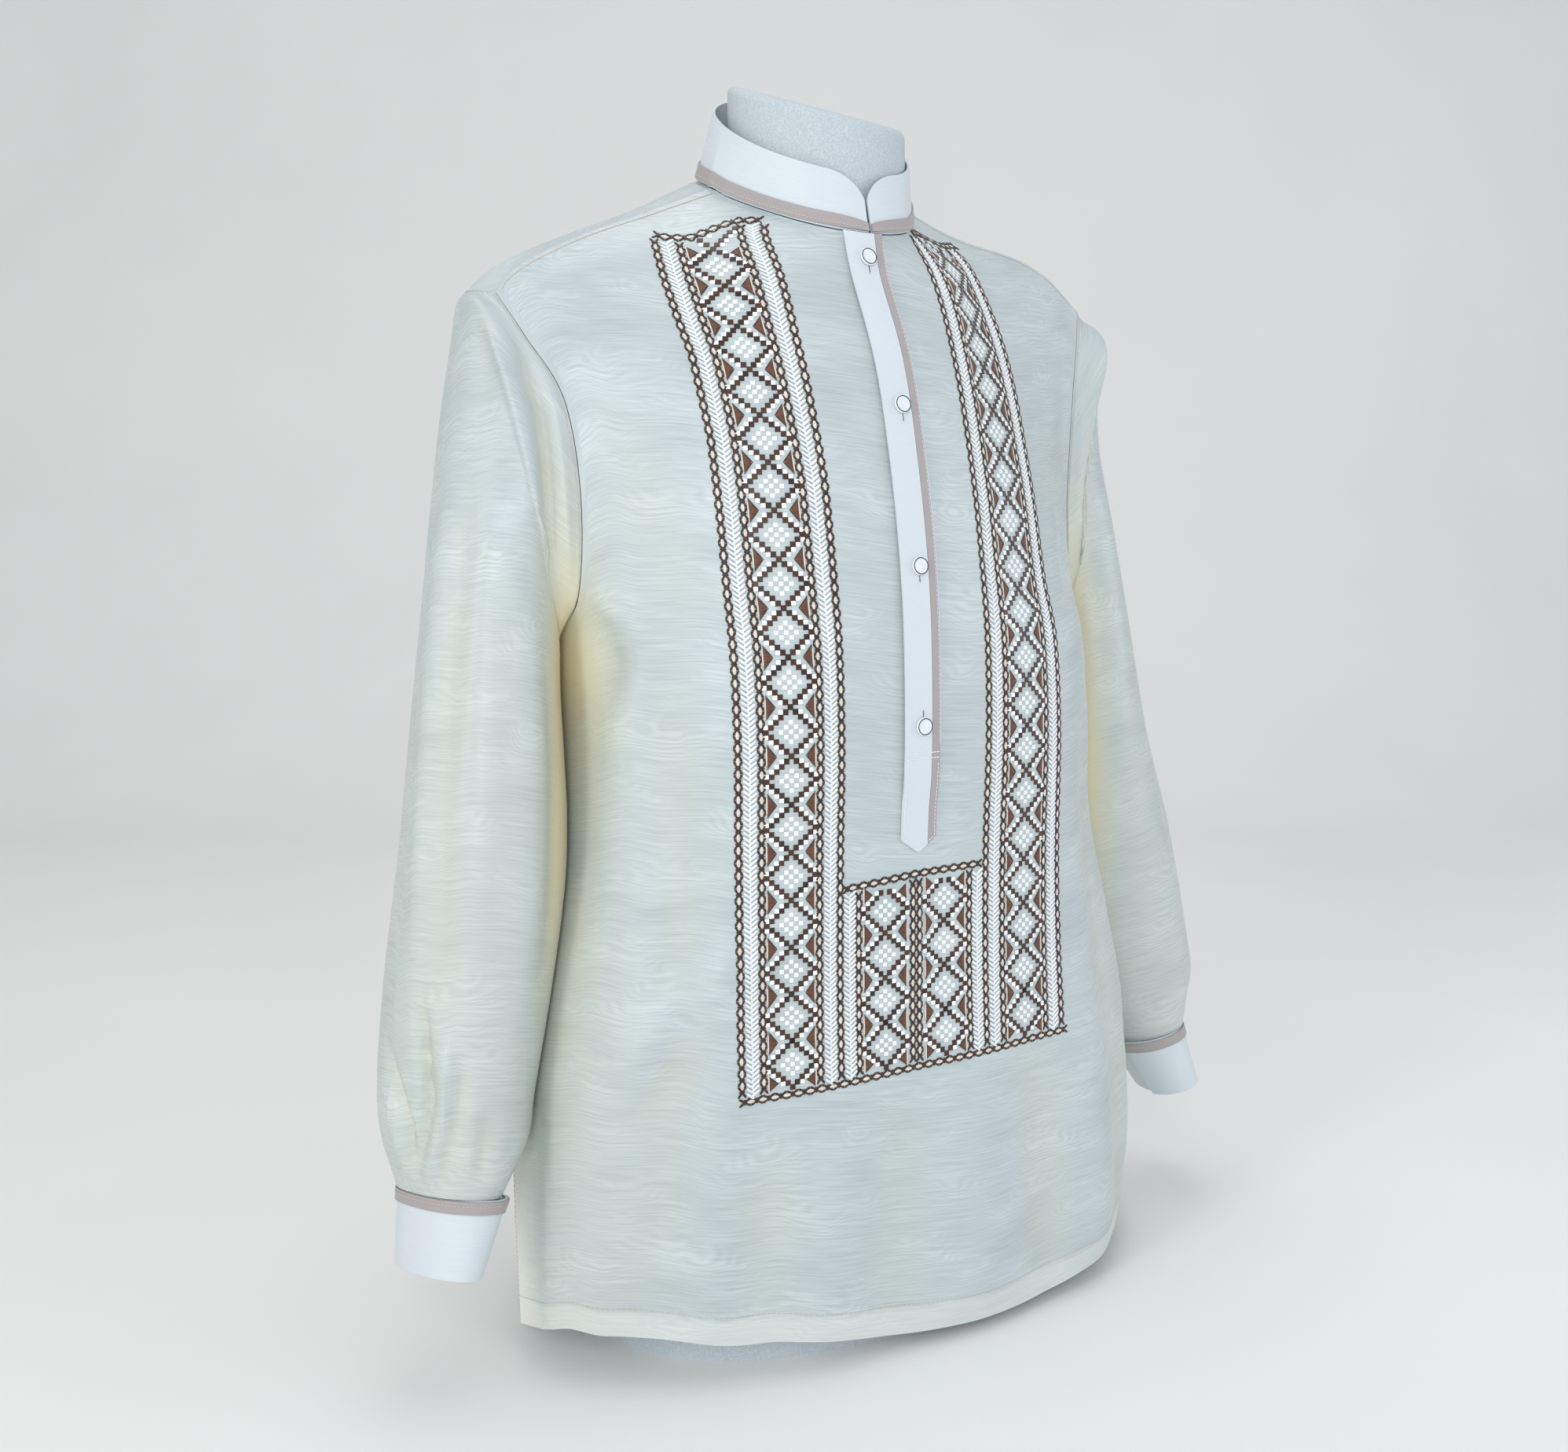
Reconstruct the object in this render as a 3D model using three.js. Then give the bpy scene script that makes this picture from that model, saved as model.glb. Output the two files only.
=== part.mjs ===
// Barong tagalog on a dress form: a sheer long-sleeved shirt with a band collar, a half-length
// buttoned placket and band cuffs, hanging on a limbless torso form that stands on a table.
// Millimetres, +Z up, the front faces -Y, the wearer's right arm is at -X, the table is z = 0.
import * as THREE from "three";

// Sizes that drive the rest
const clothWall = 1.2; // wall of the shirt's panels
const bandWall = 1.6; // wall of the collar and the cuffs, which are lined
const trimWall = 1.0; // wall of the narrow strips
const seamGap = 0.3; // space left between pieces that are sewn or lie on each other
const neckHalfShare = 0.334; // share of the top edge, from centre front, that is neckline
const slitTop = 396; // height of the lower end of the front opening
const slitHalf = 0.5; // half width of the front opening, which the placket covers
const placketTop = 712; // height of the placket's upper end, under the collar
const placketTip = 331; // height of the placket's point
const placketPoint = 9; // how far the point hangs below its corners
const placketSpan = [-12.7, 6.8]; // white band, across from the buttons' line
const placketTrimSpan = [7.1, 12.7]; // the strip along its free edge
const underSpan = [-6, 14.6]; // button stand under the placket
const buttonLine = { z: [331, 410, 607, 685, 713], x: [-4, -3.5, -3.5, -6.5, -5.5] };
const buttonRadius = 5.8;
const buttonThick = 2.4;
const buttonHeights = [696, 605, 508, 411]; // heights of the four buttons
const collarTop = 784; // height of the collar's upper edge over the middle of the neck
const collarTilt = 0.56; // rise of the collar's upper edge for each mm towards the back
const collarTopRadius = 63.5;
const collarRound = 27; // length of the rounding at the collar's front ends
const collarEndShare = 0.38; // height left at the very end of the collar
const cuffTrimHeight = 8;
const cuffLap = 28; // degrees that one end of a cuff passes over the other

// Columns of the front and back tables: share of the half width, 0 at the centre, 1 at the edge
const columns = [0, 0.15, 0.25, 0.315, neckHalfShare, 0.55, 0.73, 0.88, 0.965, 1];

// Front panel, from the neckline and shoulder seam down to the armhole's lower end.
// half: half width; y and z: depth and height at each column
const frontChest = [
  { half: 221.5, y: [-71, -60, -33, -10, 3, 1, -2, -1, 0, -5],
    z: [713, 717.5, 729, 740, 747, 727, 711.5, 695.5, 682.5, 672] },
  { half: 209, y: [-80.5, -77.5, -69.5, -62, -59, -32, -26, -23, -21, -20.5],
    z: [685, 686, 690, 693, 694.5, 695, 684, 666, 652, 645.5] },
  { half: 192, y: [-103, -101, -97, -93, -91, -73, -58, -46, -40, -38],
    z: [635, 634, 634, 634.6, 635, 635, 629, 619, 611, 608] },
  { half: 185, y: [-121, -120.5, -118, -115, -114, -101, -83, -63, -49, -43.5],
    z: [565, 564, 563, 562.6, 562.4, 560, 557, 553, 551, 550] },
  { half: 187, y: [-132, -131.5, -129.5, -127, -126.5, -115, -98, -75, -55, -40],
    z: [507, 506, 504.5, 503, 502.6, 499, 496, 493, 491, 490] },
];

// Back panel, the same way: neckline and shoulder seam, the ridge of the shoulder, then down
const backChest = [
  { half: 221.5, y: [67, 63, 50, 29, 3, 1, -2, -1, 0, -5],
    z: [775, 772, 764, 756, 747, 727, 711.5, 695.5, 682.5, 672] },
  { half: 232, y: [83, 80, 67, 47, 38, 22, 22, 22, 22, 22],
    z: [752, 753, 753, 753, 752, 728, 711, 695, 682.5, 673.6] },
  { half: 222, y: [99, 97, 92, 85, 82, 63, 56, 49, 43, 40],
    z: [712, 712, 714, 715, 715, 703, 688, 668, 654, 645] },
  { half: 206, y: [112, 111.5, 108.7, 106, 105.5, 94, 82, 67, 58, 54],
    z: [640, 640, 639, 638.5, 638.3, 633, 627, 618, 612, 610] },
  { half: 197, y: [116, 116, 113.6, 111.7, 111, 101, 88, 70, 54, 44],
    z: [550, 550, 549, 548.6, 548.4, 545, 542, 539, 537, 536] },
];

// Level rings below the armholes, shared by front and back.
// half: half width; front and back: depth; power: 2 is an ellipse, more is squarer
const rings = [
  { z: 458, half: 188, front: 137, back: 114, power: 2.7 },
  { z: 400, half: 186, front: 139, back: 112, power: 3.1 },
  { z: 330, half: 191, front: 137.5, back: 110, power: 3.2 },
  { z: 255, half: 209, front: 138.5, back: 111, power: 3.0 },
  { z: 180, half: 224, front: 142, back: 114, power: 2.9 },
  { z: 100, half: 231, front: 143.5, back: 118, power: 2.8 },
  { z: 15, half: 231, front: 144, back: 122, power: 2.4 },
];

// How unevenly the lower part hangs: shift at each share across, full at the hem
const hang = { share: [-1, -0.93, -0.8, -0.55, -0.4, 0, 0.4, 0.75, 1],
  x: [4, 3.7, 3.1, 2, 1, 0, 2, 6, 9], y: [0, 5, 10, 9.5, 7, 0, -6, -10, 0],
  z: [-3, 12, 19, 9, 8, -4, -6, 1, 6] };
const slitOpen = 8; // how far each edge stands off at the side slits
const slitHeight = 165; // height of the upper end of the side slits
const leftShoulderLift = 14; // the wearer's left shoulder is the higher one

// Sleeve rings after the armhole: outer and inner point of each ring (x away from the body),
// y of its middle, half depth from front to back, toe-in in degrees, and the rise of its front
// for each mm towards the front
const sleeveRings = [
  { outX: 237.5, outZ: 671, inX: 190, inZ: 450, y: 8, deep: 56, toe: 0, rise: 0 },
  { outX: 240.5, outZ: 649, inX: 189, inZ: 432, y: 12, deep: 57, toe: 0, rise: 0 },
  { outX: 248, outZ: 608, inX: 188, inZ: 409, y: 13, deep: 57, toe: 0, rise: 0 },
  { outX: 259, outZ: 550, inX: 187, inZ: 378, y: 8, deep: 57, toe: 2, rise: 0.02 },
  { outX: 270.5, outZ: 485, inX: 187, inZ: 343, y: 2, deep: 57, toe: 4, rise: 0.04 },
  { outX: 282, outZ: 412, inX: 190, inZ: 303, y: -3, deep: 57, toe: 6, rise: 0.06 },
  { outX: 293, outZ: 335, inX: 198, inZ: 260, y: -8, deep: 56, toe: 9, rise: 0.1 },
  { outX: 304, outZ: 262, inX: 209, inZ: 217, y: -12, deep: 54, toe: 12, rise: 0.15 },
  { outX: 311, outZ: 205, inX: 221, inZ: 180, y: -17, deep: 52, toe: 14, rise: 0.18 },
  { outX: 312, outZ: 168, inX: 230, inZ: 150, y: -23, deep: 50, toe: 15, rise: 0.22 },
  { outX: 303, outZ: 131, inX: 251, inZ: 119, y: -28, deep: 42, toe: 15, rise: 0.26 },
];
// Each sleeve's own hang: shift outwards at the cuff, the middle and the cuff's lower edge, and
// lift at the cuff and at the shoulder
const sleeveHang = {
  right: { cuff: 0, middle: 0, lift: 0, shoulder: 0, kick: 0 },
  left: { cuff: 10, middle: -13, lift: 7, shoulder: 13.5, kick: 15 },
};
const cuffTop = { outX: 302, outZ: 130.2, inX: 251, inZ: 118.2, y: -28, deep: 42.5, toe: 15,
  rise: 0.26 };
const cuffBottom = { outX: 306, outZ: 81, inX: 270, inZ: 71, y: -30, deep: 37, toe: 15,
  rise: 0.26 };

const cuffTopHeight = (cuffTop.outZ + cuffTop.inZ) / 2;
const cuffHeight = cuffTopHeight - (cuffBottom.outZ + cuffBottom.inZ) / 2;

// Dress form: rings with their own slope towards the back.
// z, slope, lean: its plane; half, front, back, mid, shift: size and middle; power: squareness
const formRings = [
  { z: 0, slope: 0, half: 176, front: 122, back: 100, mid: 0, power: 2.3 },
  { z: 60, slope: 0, half: 180, front: 126, back: 104, mid: 0, power: 2.3 },
  { z: 150, slope: 0, half: 180, front: 128, back: 105, mid: 0, power: 2.3 },
  { z: 250, slope: 0, half: 174, front: 127, back: 102, mid: 0, power: 2.3 },
  { z: 340, slope: 0, half: 172, front: 127, back: 100, mid: 0, power: 2.3 },
  { z: 430, slope: 0, half: 175, front: 130, back: 105, mid: 0, power: 2.3 },
  { z: 500, slope: 0, half: 178, front: 126, back: 107, mid: 0, power: 2.1 },
  { z: 560, slope: 0.02, half: 186, front: 117, back: 105, mid: 0, power: 1.95 },
  { z: 610, slope: 0.04, half: 194, front: 110, back: 98, mid: 5, power: 1.65 },
  { z: 650, slope: 0.06, half: 194, front: 102, back: 88, mid: 10, power: 1.45 },
  { z: 682, slope: 0.08, half: 178, front: 92, back: 76, mid: 13, power: 1.3 },
  { z: 706, slope: 0.13, half: 146, front: 82, back: 70, mid: 12, power: 1.25 },
  { z: 724, slope: 0.24, half: 98, front: 60, back: 62, mid: 8, power: 1.45 },
  { z: 742, slope: 0.38, half: 66, front: 60, back: 59, mid: 2, power: 1.85, shift: 1 },
  { z: 760, slope: 0.42, half: 60, front: 59, back: 58, mid: 1, power: 2, shift: 2 },
  { z: 780, slope: 0.38, half: 58.7, front: 58.7, back: 58.7, mid: 0, power: 2, shift: 2.6 },
  { z: 797, slope: 0.35, half: 58.4, front: 58.4, back: 58.4, mid: 0, power: 2, shift: 2.6,
    lean: -0.1 },
  { z: 802.5, slope: 0.35, half: 56.5, front: 56.5, back: 56.5, mid: 0, power: 2, shift: 2.6,
    lean: -0.1 },
  { z: 804.5, slope: 0.35, half: 52, front: 52, back: 52, mid: 0, power: 2, shift: 2.6,
    lean: -0.1 },
];

// How finely the pieces are divided
const acrossShares = [0, 0.1, 0.19, 0.27, neckHalfShare, 0.42, 0.51, 0.6, 0.7, 0.79, 0.87, 0.93,
  0.975, 1];
const downSteps = 22;
const sleeveDown = 20;
const collarAround = 40;
const cuffAround = 36;
const formAround = 32;

const colours = {
  cloth: { color: 0xe6e9df, roughness: 0.42, metalness: 0 },
  band: { color: 0xe4ecf0, roughness: 0.45, metalness: 0 },
  trim: { color: 0xc9bfc0, roughness: 0.5, metalness: 0 },
  form: { color: 0xbcc4c8, roughness: 0.85, metalness: 0 },
  button: { color: 0xe8eef2, roughness: 0.2, metalness: 0 },
};
const materials = {};
for (const [name, values] of Object.entries(colours)) {
  materials[name] = new THREE.MeshStandardMaterial(values);
}

const part = new THREE.Group();

function addPiece(name, geometry, material) {
  const mesh = new THREE.Mesh(geometry, materials[material]);
  mesh.name = name;
  part.add(mesh);
  return mesh;
}

const mix = (a, b, t) => a + (b - a) * t;
const clamp = (x, low, high) => Math.min(Math.max(x, low), high);

function fade(x, low, high) {
  const t = clamp((x - low) / (high - low), 0, 1);
  return t * t * (3 - 2 * t);
}

// Smooth value at x through the points (xs, ys); flatStart keeps it level at the first point
function through(xs, ys, x, flatStart = false) {
  const last = xs.length - 1;
  let i = 0;
  while (i < last - 1 && x > xs[i + 1]) {
    i += 1;
  }
  const slopeAt = (k) => {
    if (k === 0 && flatStart) {
      return 0;
    }
    const a = Math.max(k - 1, 0);
    const b = Math.min(k + 1, last);
    return (ys[b] - ys[a]) / (xs[b] - xs[a]);
  };
  const h = xs[i + 1] - xs[i];
  const t = (x - xs[i]) / h;
  const t2 = t * t;
  const t3 = t2 * t;
  return (2 * t3 - 3 * t2 + 1) * ys[i] + (t3 - 2 * t2 + t) * h * slopeAt(i)
    + (3 * t2 - 2 * t3) * ys[i + 1] + (t3 - t2) * h * slopeAt(i + 1);
}

// Front and back panels: share -1..1 across from centre, row 0 (top edge) .. lastRow (hem)
const chestRows = frontChest.length;
const lastRow = chestRows + rings.length - 1;
const rowNumbers = [...Array(lastRow + 1).keys()];

function rowPoint(side, row, share) {
  const chest = side < 0 ? frontChest : backChest;
  if (row < chest.length) {
    const line = chest[row];
    // Along the shoulder seam the top row starts afresh at the side of the neck
    const from = row === 0 && share >= neckHalfShare ? columns.indexOf(neckHalfShare) : 0;
    const at = columns.slice(from);
    return [share * line.half, through(at, line.y.slice(from), share, from === 0),
      through(at, line.z.slice(from), share, from === 0)];
  }
  const ring = rings[row - chest.length];
  const deep = side < 0 ? ring.front : ring.back;
  const y = side * deep * Math.pow(Math.max(1 - Math.pow(share, ring.power), 0), 1 / ring.power);
  return [share * ring.half, y, ring.z];
}

// side: -1 front, 1 back
function panelPoint(side, share, row) {
  const first = clamp(Math.floor(row) - 1, 0, lastRow - 3);
  const near = rowNumbers.slice(first, first + 4);
  const points = near.map((r) => rowPoint(side, r, Math.abs(share)));
  const at = [0, 1, 2].map((axis) => through(near, points.map((p) => p[axis]), row));
  if (row > chestRows) {
    at[1] = side * Math.max(side * at[1], 0);
  }
  const point = new THREE.Vector3(Math.sign(share) * at[0], at[1] + side * seamGap * 0.7, at[2]);
  const low = fade(-point.z, -330, -40);
  point.x += low * through(hang.share, hang.x, share);
  point.y += side < 0 ? low * through(hang.share, hang.y, share) : 0;
  point.y += side * slitOpen * Math.pow(share, 8) * fade(-at[2], -slitHeight, -60);
  point.z += low * through(hang.share, hang.z, share);
  point.z += leftShoulderLift * fade(share, 0.42, 0.92) * (1 - fade(row, 0.6, 3.5));
  return point;
}

function panelNormal(side, share, row) {
  const across = panelPoint(side, Math.min(share + 0.02, 1), row)
    .sub(panelPoint(side, Math.max(share - 0.02, -1), row));
  const down = panelPoint(side, share, Math.min(row + 0.05, lastRow))
    .sub(panelPoint(side, share, Math.max(row - 0.05, 0)));
  return across.cross(down).multiplyScalar(side).normalize();
}

// Row of the front panel whose centre lies at a height
function rowAtHeight(height) {
  let low = 0;
  let high = lastRow;
  for (let k = 0; k < 40; k += 1) {
    const middle = (low + high) / 2;
    if (panelPoint(-1, 0, middle).z > height) {
      low = middle;
    } else {
      high = middle;
    }
  }
  return (low + high) / 2;
}

function halfWidthAt(row) {
  return Math.abs(panelPoint(-1, -1, row).x);
}

// Normals of a grid of points, rows first; turn is 1 or -1 so that they face outwards
function gridNormals(grid, closed, turn) {
  const count = grid[0].length;
  return grid.map((line, i) => line.map((point, j) => {
    const above = grid[Math.max(i - 1, 0)][j];
    const below = grid[Math.min(i + 1, grid.length - 1)][j];
    const before = closed ? line[(j + count - 1) % count] : line[Math.max(j - 1, 0)];
    const after = closed ? line[(j + 1) % count] : line[Math.min(j + 1, count - 1)];
    const across = after.clone().sub(before);
    return across.cross(below.clone().sub(above)).multiplyScalar(turn).normalize();
  }));
}

// Closed thin solid: the grid is its outer face, its inner face lies one wall inside.
// keep(i, j) says which cells of the grid are cloth; the rest is open
function thinSolid(grid, normals, wall, closed, turn, keep = () => true) {
  const rowsOf = grid.length;
  const count = grid[0].length;
  const cells = closed ? count : count - 1;
  const positions = [];
  for (const depth of [0, wall]) {
    grid.forEach((line, i) => line.forEach((point, j) => {
      const p = point.clone().addScaledVector(normals[i][j], -depth);
      positions.push(p.x, p.y, p.z);
    }));
  }
  const layer = rowsOf * count;
  const index = [];
  const quad = (a, b, c, d) => {
    if (turn > 0) {
      index.push(a, b, c, a, c, d);
    } else {
      index.push(a, c, b, a, d, c);
    }
  };
  const has = (i, j) => {
    if (i < 0 || i >= rowsOf - 1) {
      return false;
    }
    if (!closed && (j < 0 || j >= cells)) {
      return false;
    }
    return keep(i, (j + cells) % cells);
  };
  for (let i = 0; i < rowsOf - 1; i += 1) {
    for (let j = 0; j < cells; j += 1) {
      if (has(i, j)) {
        const k = (j + 1) % count;
        const a = i * count + j;
        const b = i * count + k;
        const c = (i + 1) * count + k;
        const d = (i + 1) * count + j;
        quad(a, b, c, d);
        quad(a + layer, d + layer, c + layer, b + layer);
        const walls = [[has(i - 1, j), b, a], [has(i, j + 1), c, b],
          [has(i + 1, j), d, c], [has(i, j - 1), a, d]];
        for (const [shared, from, to] of walls) {
          if (!shared) {
            quad(from, to, to + layer, from + layer);
          }
        }
      }
    }
  }
  return cleanGeometry(positions, index);
}

// Geometry with only the points that its faces use
function cleanGeometry(positions, index) {
  const used = new Map();
  const kept = [];
  const renumbered = index.map((v) => {
    if (!used.has(v)) {
      used.set(v, kept.length / 3);
      kept.push(positions[3 * v], positions[3 * v + 1], positions[3 * v + 2]);
    }
    return used.get(v);
  });
  const geometry = new THREE.BufferGeometry();
  geometry.setAttribute("position", new THREE.Float32BufferAttribute(kept, 3));
  geometry.setIndex(renumbered);
  geometry.computeVertexNormals();
  return geometry;
}

// Front and back panels, on one grid layout so that they meet along the seams
const shares = [...acrossShares.slice(1).reverse().map((s) => -s), 0, ...acrossShares.slice(1)];
const slitShares = [...shares.filter((s) => s < 0), -slitHalf / 200, slitHalf / 200,
  ...shares.filter((s) => s > 0)];
const slitRow = rowAtHeight(slitTop);
const downRows = [];
for (let i = 0; i <= downSteps; i += 1) {
  downRows.push((lastRow * i) / downSteps);
}
const slitLine = downRows.findIndex((row) => row >= slitRow);
downRows[slitLine] = slitRow;

const frontGrid = downRows.map((row) => slitShares.map((s) => panelPoint(-1, s, row)));
const backGrid = downRows.map((row) => slitShares.map((s) => panelPoint(1, s, row)));
const frontNormals = gridNormals(frontGrid, false, -1);
const backNormals = gridNormals(backGrid, false, 1);
// Along the shoulder and side seams both panels share one normal, so their walls stay apart
downRows.forEach((row, i) => slitShares.forEach((share, j) => {
  const shoulder = i === 0 && Math.abs(share) >= neckHalfShare;
  const side = Math.abs(share) === 1 && row >= chestRows;
  if (shoulder || side) {
    const shared = frontNormals[i][j].clone().add(backNormals[i][j]).normalize();
    frontNormals[i][j].copy(shared);
    backNormals[i][j].copy(shared);
  }
}));
const middleCell = slitShares.findIndex((s) => s > 0) - 1;
const frontKeep = (i, j) => j !== middleCell || i >= slitLine;
addPiece("front", thinSolid(frontGrid, frontNormals, clothWall, false, -1, frontKeep), "cloth");
addPiece("back", thinSolid(backGrid, backNormals, clothWall, false, 1), "cloth");

// Sleeve: the armhole is the edge of the panels, then the rings of the table. The sleeve's
// columns start at the corners of the panels' edges: over the front, the underarm and the back
const armholeRows = downRows.filter((row) => row <= chestRows);
const armholes = {};
for (const sign of [-1, 1]) {
  const front = armholeRows.map((row) => panelPoint(-1, sign, row));
  const back = armholeRows.slice(1, -1).reverse().map((row) => panelPoint(1, sign, row));
  const points = [...front, ...back];
  const lengths = points.map((p, j) => p.distanceTo(points[(j + 1) % points.length]));
  const around = lengths.reduce((sum, value) => sum + value, 0);
  let sum = 0;
  const turnShares = lengths.map((value) => {
    const share = sum / around;
    sum += value;
    return share;
  });
  for (const p of points) {
    p.x = Math.abs(p.x) + 1.5 * seamGap;
    p.z += 0.9 * (1 - fade(p.z, 465, 500));
  }
  armholes[sign] = { points, turnShares };
}

// Half width of the shirt's body at a height and depth, below the armholes
function bodyHalf(y, z) {
  const heights = rings.map((r) => -r.z);
  const at = (key) => through(heights, rings.map((r) => r[key]), clamp(-z, heights[0], -15));
  const deep = y < 0 ? at("front") : at("back");
  const power = at("power");
  return at("half") * Math.pow(Math.max(1 - Math.pow(Math.abs(y) / deep, power), 0), 1 / power);
}

function ringPoint(ring, turnShare, own, lift = 0) {
  const angle = 2 * Math.PI * turnShare;
  const toe = THREE.MathUtils.degToRad(ring.toe);
  const halfAcross = Math.hypot(ring.outX - ring.inX, ring.outZ - ring.inZ) / 2 + lift;
  const outward = new THREE.Vector3(ring.outX - ring.inX, 0, ring.outZ - ring.inZ).normalize();
  const squareCos = Math.sign(Math.cos(angle)) * Math.pow(Math.abs(Math.cos(angle)), 0.9);
  const squareSin = Math.sign(Math.sin(angle)) * Math.pow(Math.abs(Math.sin(angle)), 0.9);
  const a = halfAcross * squareCos;
  const b = (ring.deep + lift) * squareSin;
  const across = a * Math.cos(toe) - b * Math.sin(toe);
  const forward = a * Math.sin(toe) + b * Math.cos(toe);
  const middle = new THREE.Vector3((ring.outX + ring.inX) / 2, ring.y, (ring.outZ + ring.inZ) / 2);
  const point = middle.addScaledVector(outward, across);
  point.y -= forward;
  point.z += forward * ring.rise;
  const height = (ring.outZ + ring.inZ) / 2;
  point.x += own.cuff * fade(-height, -400, -120);
  point.x += own.middle * fade(-point.z, -665, -600) * (1 - fade(-height, -420, -180))
    * fade(squareCos, -0.9, 0.3);
  point.x += own.kick * clamp((cuffTopHeight - height) / cuffHeight, 0, 1);
  point.z += own.lift * fade(-height, -560, -120) + own.shoulder * fade(point.z, 540, 660);
  return point;
}

// The sleeve lies against the body but stays just clear of it
function clearOfBody(point, gap, sign) {
  if (point.z < 470) {
    const sway = sign * fade(-point.z, -330, -40) * through(hang.share, hang.x, sign);
    const limit = bodyHalf(point.y, Math.min(point.z, 458)) + sway + gap;
    const near = point.x - limit;
    if (near < 6) {
      point.x = limit + (near > -6 ? Math.pow(near + 6, 2) / 24 : 0);
    }
  }
  return point;
}

function sleevePoint(column, row, sign, own) {
  const turnShare = armholes[sign].turnShares[column];
  const numbers = [...Array(sleeveRings.length + 1).keys()];
  const first = clamp(Math.floor(row) - 1, 0, sleeveRings.length - 3);
  const near = numbers.slice(first, first + 4);
  const points = near.map((r) => (r === 0 ? armholes[sign].points[column]
    : ringPoint(sleeveRings[r - 1], turnShare, own)));
  const [x, y, z] = ["x", "y", "z"].map((axis) => through(near, points.map((p) => p[axis]), row));
  const point = new THREE.Vector3(x, y, z);
  return row > 0.4 ? clearOfBody(point, 1.8, sign) : point;
}

// sign: -1 the wearer's right (at -X), 1 the wearer's left
function addSleeve(name, sign, own) {
  const grid = [];
  for (let i = 0; i <= sleeveDown; i += 1) {
    const line = [];
    for (let j = 0; j < armholes[sign].points.length; j += 1) {
      const p = sleevePoint(j, (sleeveRings.length * i) / sleeveDown, sign, own);
      line.push(new THREE.Vector3(sign * p.x, p.y, p.z));
    }
    grid.push(line);
  }
  const normals = gridNormals(grid, true, sign);
  addPiece(name, thinSolid(grid, normals, clothWall, true, sign), "cloth");
}
addSleeve("sleeve_right", -1, sleeveHang.right);
addSleeve("sleeve_left", 1, sleeveHang.left);

// Cuff: a band that goes once round and passes over its own beginning; the strip lies on its
// upper edge
function cuffGrid(sign, own, from, to, steps, lift) {
  const grid = [];
  const turns = 1 + cuffLap / 360;
  for (let i = 0; i <= steps; i += 1) {
    const t = mix(from, to, i / steps);
    const ring = {};
    for (const key of Object.keys(cuffTop)) {
      ring[key] = mix(cuffTop[key], cuffBottom[key], t);
    }
    const line = [];
    for (let j = 0; j <= cuffAround; j += 1) {
      const share = 0.36 + (turns * j) / cuffAround;
      const over = fade(j / cuffAround, 0.72, 0.93) * (bandWall + trimWall + 3 * seamGap);
      const p = ringPoint(ring, share, own, lift + over);
      line.push(new THREE.Vector3(sign * p.x, p.y, p.z));
    }
    grid.push(line);
  }
  return grid;
}

function addCuff(name, trimName, sign, own) {
  const band = cuffGrid(sign, own, 0, 1, 4, 0);
  addPiece(name, thinSolid(band, gridNormals(band, false, sign), bandWall, false, sign), "band");
  const strip = cuffGrid(sign, own, 0.4 / cuffHeight, cuffTrimHeight / cuffHeight, 1,
    seamGap + trimWall);
  addPiece(trimName, thinSolid(strip, gridNormals(strip, false, sign), trimWall, false, sign), "trim");
}
addCuff("cuff_right", "cuff_trim_right", -1, sleeveHang.right);
addCuff("cuff_left", "cuff_trim_left", 1, sleeveHang.left);

// Collar: stands on the neckline of the panels. place -1..1 runs from the wearer's right end
// round the back to the left end
function necklinePoint(place) {
  const q = 1 - Math.abs(place);
  const sign = place < 0 ? -1 : 1;
  if (q < 0.5) {
    return panelPoint(-1, sign * Math.max(neckHalfShare * 2 * q, 0.005), 0);
  }
  return panelPoint(1, sign * Math.max(neckHalfShare * 2 * (1 - q), 0.0001), 0);
}

function collarPoint(place, up) {
  const base = necklinePoint(place);
  const angle = Math.atan2(base.x, -(base.y - 2));
  const top = new THREE.Vector3(collarTopRadius * Math.sin(angle),
    2 - collarTopRadius * Math.cos(angle), 0);
  top.z = collarTop + collarTilt * top.y;
  const rise = top.clone().sub(base);
  base.addScaledVector(rise.clone().normalize(), 0.6);
  const fromEnd = Math.abs(base.x) + (base.y > 0 ? 200 : 0);
  const t = clamp(fromEnd / collarRound, 0, 1);
  const share = mix(collarEndShare, 1, Math.sqrt(1 - (1 - t) * (1 - t)));
  return base.addScaledVector(rise, up * share);
}

const collarPlaces = [];
for (let j = 0; j <= collarAround; j += 1) {
  const t = (2 * j) / collarAround - 1;
  const place = Math.sign(t) * Math.pow(Math.abs(t), 0.8);
  // One point stands exactly on each shoulder seam
  collarPlaces.push(Math.abs(Math.abs(place) - 0.5) < 0.021 ? Math.sign(t) * 0.5 : place);
}

function collarGrid(heights, lift) {
  const grid = heights.map((up) => collarPlaces.map((place) => collarPoint(place, up)));
  if (lift > 0) {
    const normals = gridNormals(grid, false, 1);
    grid.forEach((line, i) => line.forEach((p, j) => p.addScaledVector(normals[i][j], lift)));
  }
  return grid;
}
const collarBand = collarGrid([1, 0.8, 0.5, 0.25, 0], bandWall);
addPiece("collar", thinSolid(collarBand, gridNormals(collarBand, false, 1), bandWall, false, 1),
  "band");
const collarStrip = collarGrid([0.24, 0.02], bandWall + seamGap + trimWall);
addPiece("collar_trim",
  thinSolid(collarStrip, gridNormals(collarStrip, false, 1), trimWall, false, 1), "trim");

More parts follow.
